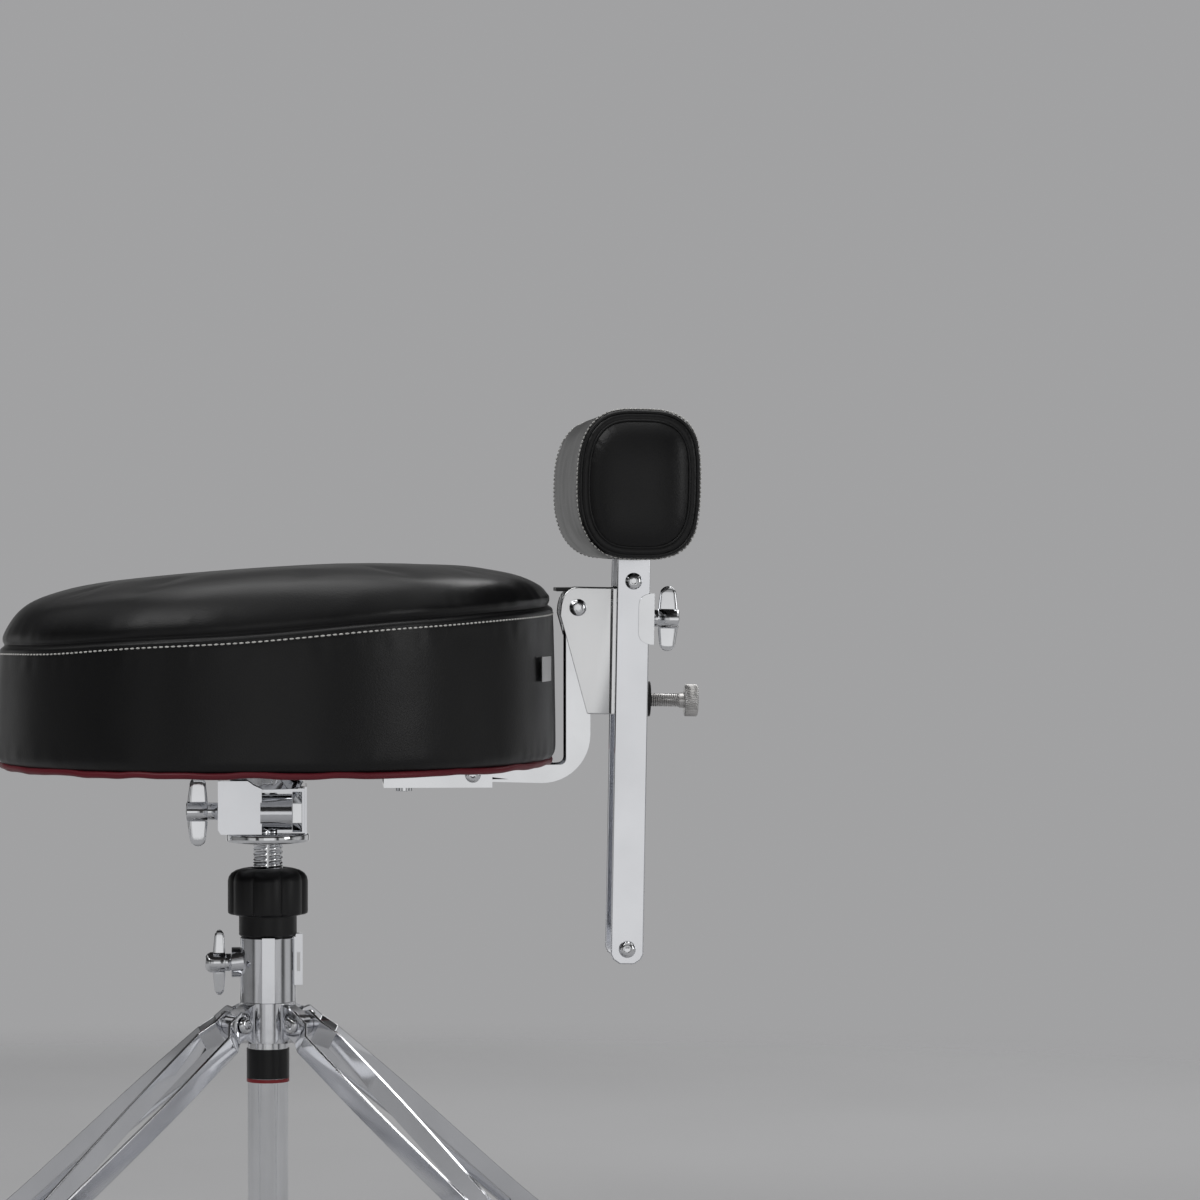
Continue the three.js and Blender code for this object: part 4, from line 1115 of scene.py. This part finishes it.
@dataclass
class LockHandle:
    """The moulded handle with shallow flutes and a rolled top edge."""

    lobes: int = 8
    flute: float = 1.2 * MM
    bore: float = 11.3 * MM
    sides: int = 240

    def build(self) -> None:
        """Makes the handle as one ring-shaped skin."""
        low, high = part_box("lock_handle")
        neck_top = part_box("handle_nut")[1].z + 0.3 * MM
        centre = (low + high) / 2
        grip = (high.x - low.x) / 2
        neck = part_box("post_clamp")[1].x - 0.9 * MM
        top, start = high.z, neck_top + 1.5 * MM
        place = Matrix.Translation((centre.x, centre.y, 0))
        profile = [
            (15.6 * MM, low.z),
            (neck - 1 * MM, low.z),
            (neck, low.z + 1 * MM),
            (neck, start - 1.4 * MM),
            (neck + 0.8 * MM, start - 0.5 * MM),
            (grip - 1.6 * MM, start),
            (grip - 0.3 * MM, start + 0.8 * MM),
            (grip, start + 2.2 * MM),
            (grip, start + 12 * MM),
            (grip, top - 9 * MM),
            (grip - 0.6 * MM, top - 6.2 * MM),
            (grip - 2.4 * MM, top - 3.6 * MM),
            (grip - 5.5 * MM, top - 1.7 * MM),
            (grip - 9.5 * MM, top - 0.5 * MM),
            (grip - 12.5 * MM, top),
            (self.bore + 1.6 * MM, top),
            (self.bore + 0.4 * MM, top - 0.6 * MM),
            (self.bore, top - 2.4 * MM),
            (self.bore, neck_top + 0.6 * MM),
            (15.6 * MM, neck_top + 0.3 * MM),
        ]

        def fluted(radius: float, height: float, turn: float) -> float:
            """The radius with its share of a flute taken off."""
            share = max(0.0, min(1.0, (radius - neck - 2 * MM) / (grip - neck - 3 * MM)))
            wave = abs(math.cos(turn * self.lobes / 2)) ** 0.7
            return radius - self.flute * 2 * (1 - wave) * share

        mesh = loft(turned_rings(profile, place, self.sides, fluted), closed=True)
        piece("lock_handle_moulding", mesh, "moulded_plastic", "lock_handle", "lock_handle")


@dataclass(frozen=True)
class Screw:
    """A screw across the throne: a button head with a hex socket at each end of a shank.

    Args:
        node: the frame's node that it stands for.
        head: radius of the heads.
        rise: height of the heads.
        shank: radius of the shank.
        socket: half the socket's width across flats.
    """

    node: str
    head: float
    rise: float
    shank: float
    socket: float
    one_sided: bool = False

    def end(self, reach: float) -> list[tuple[float, float, bool]]:
        """Radius, station and hex flag from the socket's floor down to the shank."""
        base = reach - self.rise
        return [
            (self.socket * 0.5, reach - self.rise * 0.75, True),
            (self.socket * 0.98, reach - self.rise * 0.72, True),
            (self.socket, reach - 0.25 * MM, True),
            (self.socket + 0.35 * MM, reach, False),
            (self.head * 0.62, reach - 0.04 * self.rise, False),
            (self.head * 0.84, reach - 0.26 * self.rise, False),
            (self.head * 0.96, reach - 0.52 * self.rise, False),
            (self.head, reach - 0.74 * self.rise, False),
            (self.head, base + 0.12 * self.rise, False),
            (self.head - 0.3 * MM, base, False),
            (self.shank, base, False),
        ]

    def build(self, axis: Vector) -> None:
        """Makes the screw along an axis through the middle of its node's box.

        Args:
            axis: the direction of the screw.
        """
        middle, half = span_along(self.node, axis)
        near = self.end(half)
        far = [(radius, -station, hexed) for radius, station, hexed in reversed(near)]
        if self.one_sided:
            far = [(self.shank, -half + 0.4 * MM, False), (self.shank - 0.4 * MM, -half, False)]
        place = axis_place(middle, axis)
        rings = []
        for radius, station, hexed in near + far:
            ring = []
            for i in range(48):
                turn = math.tau * i / 48
                slant = (turn % (math.pi / 3)) - math.pi / 6
                reach = radius / math.cos(slant) if hexed else radius
                x, y = reach * math.cos(turn), reach * math.sin(turn)
                ring.append(place @ Vector((x, y, station)))
            rings.append(ring)
        piece(f"{self.node}_screw", loft(rings), "polished_chrome", body_of(self.node), self.node)


def span_along(node: str, axis: Vector) -> tuple[Vector, float]:
    """The middle of a node's box and its greatest reach from there along an axis."""
    low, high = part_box(node)
    middle = (low + high) / 2
    places = [Vector(vertex.co) - middle for vertex in frame["nodes"][node].data.vertices]
    return middle, max(abs(place.dot(axis)) for place in places)


@dataclass(frozen=True)
class TiltScrew:
    """The thumb screw: a fine thread, a plain collar and a knurled knob."""

    pitch: float = 1.3 * MM
    depth: float = 0.55 * MM
    shank: float = 4.9 * MM
    knob: float = 11.3 * MM
    knob_thick: float = 9.5 * MM
    knurls: int = 54
    axis: Vector = Vector((0, math.cos(math.radians(1)), -math.sin(math.radians(1))))

    def build(self) -> None:
        """Makes the screw as one turned skin."""
        middle, reach = span_along("tilt_screw", self.axis)
        start, end = reach - self.knob_thick - 4 * MM, reach
        count = int((start + reach) / self.pitch * 6)
        profile = [(self.shank, -reach + (start + reach) * i / count) for i in range(count + 1)]
        profile += [(self.shank, start + 0.3 * MM), (self.shank + 0.5 * MM, start + 0.5 * MM)]
        profile += [(self.shank + 0.5 * MM, start + 4 * MM)]
        profile += [(self.knob - 1 * MM, start + 4.05 * MM)]
        profile += [(self.knob, start + 4.9 * MM), (self.knob, end - 0.9 * MM)]
        profile += [(self.knob - 1 * MM, end), (self.knob - 3 * MM, end), (2 * MM, end - 0.6 * MM)]

        def cut(radius: float, height: float, turn: float) -> float:
            """The radius with the thread or the knurls cut into it."""
            if height <= start:
                phase = (height / self.pitch - turn / math.tau) % 1.0
                taper = max(0.0, 1.4 * MM - (height + reach))
                return radius - self.depth * abs(2 * phase - 1) - taper
            if radius >= self.knob:
                return radius - 0.45 * MM * abs(math.sin(turn * self.knurls / 2))
            return radius

        rings = turned_rings(profile, axis_place(middle, self.axis), self.knurls * 4, cut)
        piece("tilt_screw_turned", loft(rings), "turned_zinc", "tilt_screw", "tilt_screw")


@dataclass(frozen=True)
class WingBolt:
    """A wing bolt: a shank, a stem and a hub, with two rounded wings that thin to their tips.

    Args:
        node: the frame's node that it stands for.
        axis: from the shank to the nose.
        neck: length of the stem.
        depth: width of the wings at the hub.
        nose: how far the hub goes on past the wings.
    """

    node: str
    axis: Vector
    neck: float
    depth: float
    nose: float
    screw: float = 4.0 * MM
    stem: float = 6.2 * MM
    hub: float = 7.3 * MM
    thick: float = 2.5 * MM  # half, at the hub
    thin: float = 1.7 * MM  # half, near the tips
    tip: float = 4.5 * MM  # length of the rounded tips

    def turned_body(self, place: Matrix, shank: float) -> list[Ring]:
        """Rings of the shank, stem and hub."""
        low, high = self.neck - 1 * MM, self.neck - 1 * MM + self.depth + self.nose
        profile = [
            (self.screw - 0.5 * MM, -shank),
            (self.screw, 0.5 * MM - shank),
            (self.screw, 0.0),
            (self.stem - 0.4 * MM, 0.0),
            (self.stem, 0.4 * MM),
            (self.stem, low),
            (self.hub - 0.5 * MM, low),
            (self.hub, low + 0.6 * MM),
            (self.hub, high - 0.6 * self.nose - 0.5 * MM),
            (self.hub - 0.8 * MM, high - 0.3 * self.nose - 0.2 * MM),
            (self.hub - 2.4 * MM, high),
            (self.hub * 0.3, high),
        ]
        return turned_rings(profile, place, 48)

    def wings(self, place: Matrix, half: float) -> list[Ring]:
        """Rings of the wings from one tip to the other."""
        low = self.neck - 1 * MM
        rings = []
        shares = (0.999, 0.985, 0.96, 0.92, 0.87, 0.8, 0.7, 0.55, 0.4, 0.15)
        reaches = [half * share for share in shares]
        for x in reaches + [-reach for reach in reversed(reaches)]:
            out = max(0.0, (abs(x) - self.hub) / (half - self.hub))
            start, end = low + 0.13 * out * self.depth, low + (1 - 0.17 * out) * self.depth
            past = max(0.0, abs(x) - (half - self.tip)) / self.tip
            close = math.sqrt(max(0.0, 1 - past * past))
            wide = (end - start) / 2 * (0.25 + 0.75 * close) * (close**0.35)
            thick = (self.thick + (self.thin - self.thick) * out) * close**0.7
            ring = []
            for i in range(40):
                turn = math.tau * i / 40
                c, s = math.cos(turn), math.sin(turn)
                z = (start + end) / 2 + wide * math.copysign(abs(c) ** 0.5, c)
                y = thick * math.copysign(abs(s) ** 0.5, s)
                ring.append(place @ Vector((x, y, z)))
            rings.append(ring)
        return rings

    def build(self) -> None:
        """Makes the bolt as one piece."""
        middle, reach = span_along(self.node, self.axis)
        outer = self.neck - 1 * MM + self.depth + self.nose
        up = (Vector((0, 0, 1)) - self.axis * self.axis.z).normalized()
        turn = Matrix((up, self.axis.cross(up), self.axis)).transposed().to_4x4()
        place = Matrix.Translation(middle + self.axis * (reach - outer)) @ turn
        low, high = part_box(self.node)
        skins = loft(self.turned_body(place, 2 * reach - outer), sharp=50)
        wings = loft(self.wings(place, (high.z - low.z) / 2), sharp=80)
        work = bmesh.new()
        work.from_mesh(skins)
        work.from_mesh(wings)
        name, body = f"{self.node}_cast", body_of(self.node)
        piece(name, finished(work, 50), "polished_chrome", body, self.node)


# ---- Carried-over parts -----------------------------------------------------------------------


@dataclass(frozen=True)
class Dress:
    """How one group of nodes is finished."""

    finish: str
    nodes: tuple[str, ...]
    edge: float = 0.4 * MM
    free: bool = False


DRESSES = (
    Dress("polished_chrome", ("base_tube", "collar_stop", "seat_plate", "receiver_nut"), 0.35 * MM),
    Dress("polished_chrome", ("bar_clip",), 1.3 * MM),
    Dress("polished_chrome", ("bar_spacer", "arm_clamp_bolt"), 0.4 * MM),
    Dress("polished_chrome", ("back_arm", "arm_channel"), 1.2 * MM),
    Dress(
        "polished_strip",
        tuple(f"leg_{leg}_strip_{side}" for leg in LEGS for side in "ab"),
        0.8 * MM,
    ),
    Dress(
        "polished_strip",
        tuple(f"stay_{leg}" for leg in LEGS) + ("bar_left", "bar_right"),
        0.9 * MM,
        True,
    ),
    Dress("plated_casting", ("leg_hub", "post_clamp", "seat_receiver", "brace_collar"), 1.1 * MM),
    Dress("satin_plate", ("tilt_bracket",), 0.9 * MM, True),
    Dress("black_paint", ("pad_bracket",), 0.5 * MM),
    Dress("moulded_plastic", ("tilt_lock_disc", "arm_cap", "tube_plug"), 0.5 * MM),
    Dress("printed_band", ("label_band",), 0.0),
    Dress("printed_line", ("label_line",), 0.0),
    Dress("turned_brass", ("thread_insert", "handle_nut"), 0.3 * MM),
    Dress("foot_rubber", tuple(f"leg_{leg}_foot" for leg in LEGS), 1.0 * MM),
    Dress("board_plywood", ("seat_board", "pad_board"), 0.6 * MM),
)
SIDEWAYS = Vector((1, 0, 0))
FORWARD = Vector((0, -1, 0))
WING_BOLTS = (
    WingBolt("post_wing_bolt", FORWARD, 5 * MM, 9 * MM, 5 * MM),
    WingBolt("receiver_wing_bolt", FORWARD, 8.1 * MM, 14.5 * MM, 1 * MM),
    WingBolt("clip_wing_bolt", TiltScrew.axis, 5.6 * MM, 14.5 * MM, 1 * MM),
)


def build_screws() -> None:
    """The button-headed screws across the backrest and the leg pins across the hub."""
    for node in ("bar_bolt_top", "bar_bolt_middle", "bar_bolt_bottom"):
        Screw(node, 5.9 * MM, 3.2 * MM, 3 * MM, 1.9 * MM).build(SIDEWAYS)
    Screw("tilt_pivot_bolt", 6 * MM, 3.3 * MM, 4 * MM, 2.2 * MM).build(SIDEWAYS)
    Screw("arm_lock_bolt", 5.6 * MM, 3.1 * MM, 3.7 * MM, 2 * MM, True).build(SIDEWAYS)
    post = post_axis()
    for leg in LEGS:
        node = f"hub_pin_{leg}"
        low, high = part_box(node)
        out = (low + high) / 2 - post
        Screw(node, 6 * MM, 3 * MM, 3.5 * MM, 2.2 * MM).build(
            Vector((-out.y, out.x, 0)).normalized()
        )


def build_dressed() -> None:
    """Every node whose shape is right, with eased edges and its finish."""
    for dress in DRESSES:
        for node in dress.nodes:
            dressed(node, dress.finish, dress.edge, dress.free)
    for bolt in WING_BOLTS:
        bolt.build()


# ---- Studio -----------------------------------------------------------------------------------


@dataclass
class Studio:
    """The pale floor, the soft lights and the camera."""

    distance: float = 3.193
    lens: float = 136.0
    eye: float = 0.544
    side_step: float = 0.027
    aim_depth: float = 0.234
    aim_height: float = 0.504
    backdrop: float = 0.357
    floor_radius: float = 2.0
    floor_fade: float = 1.5
    floor_color: tuple[float, float, float] = (0.46, 0.46, 0.467)
    rise: tuple[tuple[float, float], ...] = (  # from the horizon to overhead
        (0.0, 0.5), (0.14, 0.42), (0.22, 0.07), (0.42, 0.08), (0.6, 0.5), (1.0, 0.7),
    )
    flags: tuple[tuple[float, float], ...] = (  # from the front, 0, to the rear, 1
        (0.0, 0.4), (0.035, 0.34), (0.07, 0.08), (0.115, 0.9), (0.215, 1.0),
        (0.24, 0.1), (0.285, 0.1), (0.31, 1.0), (0.69, 1.0), (0.71, 0.12),
        (0.745, 0.12), (0.77, 1.0), (0.9, 0.9), (0.93, 0.12),
        (0.965, 0.15), (0.99, 0.9),
    )

    def camera(self) -> None:
        """Puts the camera at the throne's left side, a touch towards the front."""
        data = bpy.data.cameras.new("camera")
        data.lens = self.lens
        data.sensor_width = 36
        data.clip_end = 200
        eye = post_axis() + Vector((self.distance, self.side_step, self.eye))
        aim = post_axis() + Vector((0, self.aim_depth, self.aim_height))
        camera = bpy.data.objects.new("camera", data)
        camera.location = eye
        camera.rotation_euler = (aim - eye).to_track_quat("-Z", "Y").to_euler()
        bpy.context.scene.collection.objects.link(camera)
        bpy.context.scene.camera = camera

    def lamp(self, name: str, place: Vector, size: tuple[float, float], power: float) -> None:
        """One rectangular softbox that faces the seat.

        Args:
            name: its name.
            place: where it hangs.
            size: its width and height.
            power: in watts.
        """
        data = bpy.data.lights.new(name, "AREA")
        data.shape = "RECTANGLE"
        data.size, data.size_y = size
        data.energy = power
        light = bpy.data.objects.new(name, data)
        light.location = place
        aim = Vector((0, 0, 0.35))
        light.rotation_euler = (aim - place).to_track_quat("-Z", "Y").to_euler()
        bpy.context.scene.collection.objects.link(light)

    def world(self) -> None:
        """A plain grey surround for the eye; a soft studio with dark flags for reflections."""
        world = bpy.data.worlds.new("studio")
        bpy.context.scene.world = world
        world.use_nodes = True
        graph = Graph(world.node_tree)
        background = world.node_tree.nodes["Background"]
        place = graph.add("ShaderNodeTexCoord").outputs["Generated"]
        split = graph.add("ShaderNodeSeparateXYZ", {"Vector": place})
        height = self.ramp(graph, split.outputs["Z"], self.rise)
        side = graph.add(
            "ShaderNodeMath", {0: split.outputs["Y"], 1: 0.5, 2: 0.5}, operation="MULTIPLY_ADD"
        )
        flags = self.ramp(graph, side.outputs[0], self.flags)
        studio = graph.add(
            "ShaderNodeMix",
            {"Factor": 1.0, 6: height, 7: flags},
            data_type="RGBA",
            blend_type="MULTIPLY",
        )
        sight = graph.add("ShaderNodeLightPath").outputs["Is Camera Ray"]
        grey = (self.backdrop, self.backdrop, self.backdrop * 1.015, 1.0)
        mix = graph.add(
            "ShaderNodeMix", {"Factor": sight, 6: studio.outputs[2], 7: grey}, data_type="RGBA"
        )
        world.node_tree.links.new(mix.outputs[2], background.inputs["Color"])

    @staticmethod
    def ramp(
        graph: Graph, value: bpy.types.NodeSocket, stops: Sequence[tuple[float, float]]
    ) -> bpy.types.NodeSocket:
        """A grey ramp through some stops.

        Args:
            graph: the world's graph.
            value: what is looked up.
            stops: positions and grey levels.

        Returns:
            The ramp's colour socket.
        """
        node = graph.add("ShaderNodeValToRGB", {"Fac": value})
        elements = node.color_ramp.elements
        while len(elements) < len(stops):
            elements.new(0.5)
        for element, (position, level) in zip(elements, stops):
            element.position = position
            element.color = (level, level, level, 1.0)
        return node.outputs["Color"]

    def floor(self) -> None:
        """A wide plain floor that fades into the grey before its edge."""
        work = bmesh.new()
        bmesh.ops.create_circle(work, cap_ends=True, segments=96, radius=self.floor_radius)
        mesh = finished(work)
        paint = Finish(
            "pale_floor", Slot.RUBBER, self.floor_color, 0.8, 0.0, 0.03, 2, 20, 0.02 * MM
        )
        paint = paint.build()
        graph = Graph(paint.node_tree)
        place = graph.add("ShaderNodeTexCoord").outputs["Object"]
        reach = graph.add("ShaderNodeVectorMath", {0: place}, operation="LENGTH").outputs["Value"]
        fade = graph.add(
            "ShaderNodeMapRange",
            {"Value": reach, 1: self.floor_fade, 2: self.floor_radius, 3: 0.0, 4: 1.0},
            interpolation_type="SMOOTHSTEP",
        )
        clear = graph.add("ShaderNodeBsdfTransparent")
        solid = paint.node_tree.nodes["Principled BSDF"]
        mix = graph.add(
            "ShaderNodeMixShader", {0: fade.outputs[0], 1: solid.outputs[0], 2: clear.outputs[0]}
        )
        output = paint.node_tree.nodes["Material Output"]
        paint.node_tree.links.new(mix.outputs[0], output.inputs["Surface"])
        mesh.materials.append(paint)
        floor = bpy.data.objects.new("floor", mesh)
        bpy.context.scene.collection.objects.link(floor)

    def build(self) -> None:
        """Sets up everything around the throne."""
        self.camera()
        self.world()
        self.floor()
        self.lamp("card", Vector((4.6, 0.3, 0.55)), (2.4, 3.2), 5.6)
        self.lamp("side", Vector((1.8, 2.6, 0.9)), (0.9, 1.3), 7)
        self.lamp("key", Vector((1.5, -1.5, 2.3)), (1.5, 1.0), 15)
        self.lamp("rim", Vector((-1.8, 1.4, 1.9)), (1.4, 0.8), 12)
        self.lamp("top", Vector((-0.2, 0.1, 2.6)), (2.0, 1.6), 16)
        bpy.context.scene.view_settings.view_transform = "Standard"


def main() -> None:
    """Builds the studio and the throne in order."""
    logging.basicConfig(level=logging.INFO, format="%(message)s")
    Studio().build()
    stitches, welts = StitchRun(), WeltRun()
    SeatCushion().build(stitches, welts)
    BackPad().build(stitches, welts)
    ThreadedPost().build()
    RodDisc().build()
    LockHandle().build()
    TiltScrew().build()
    build_screws()
    build_dressed()


if __name__ == "__main__":
    main()
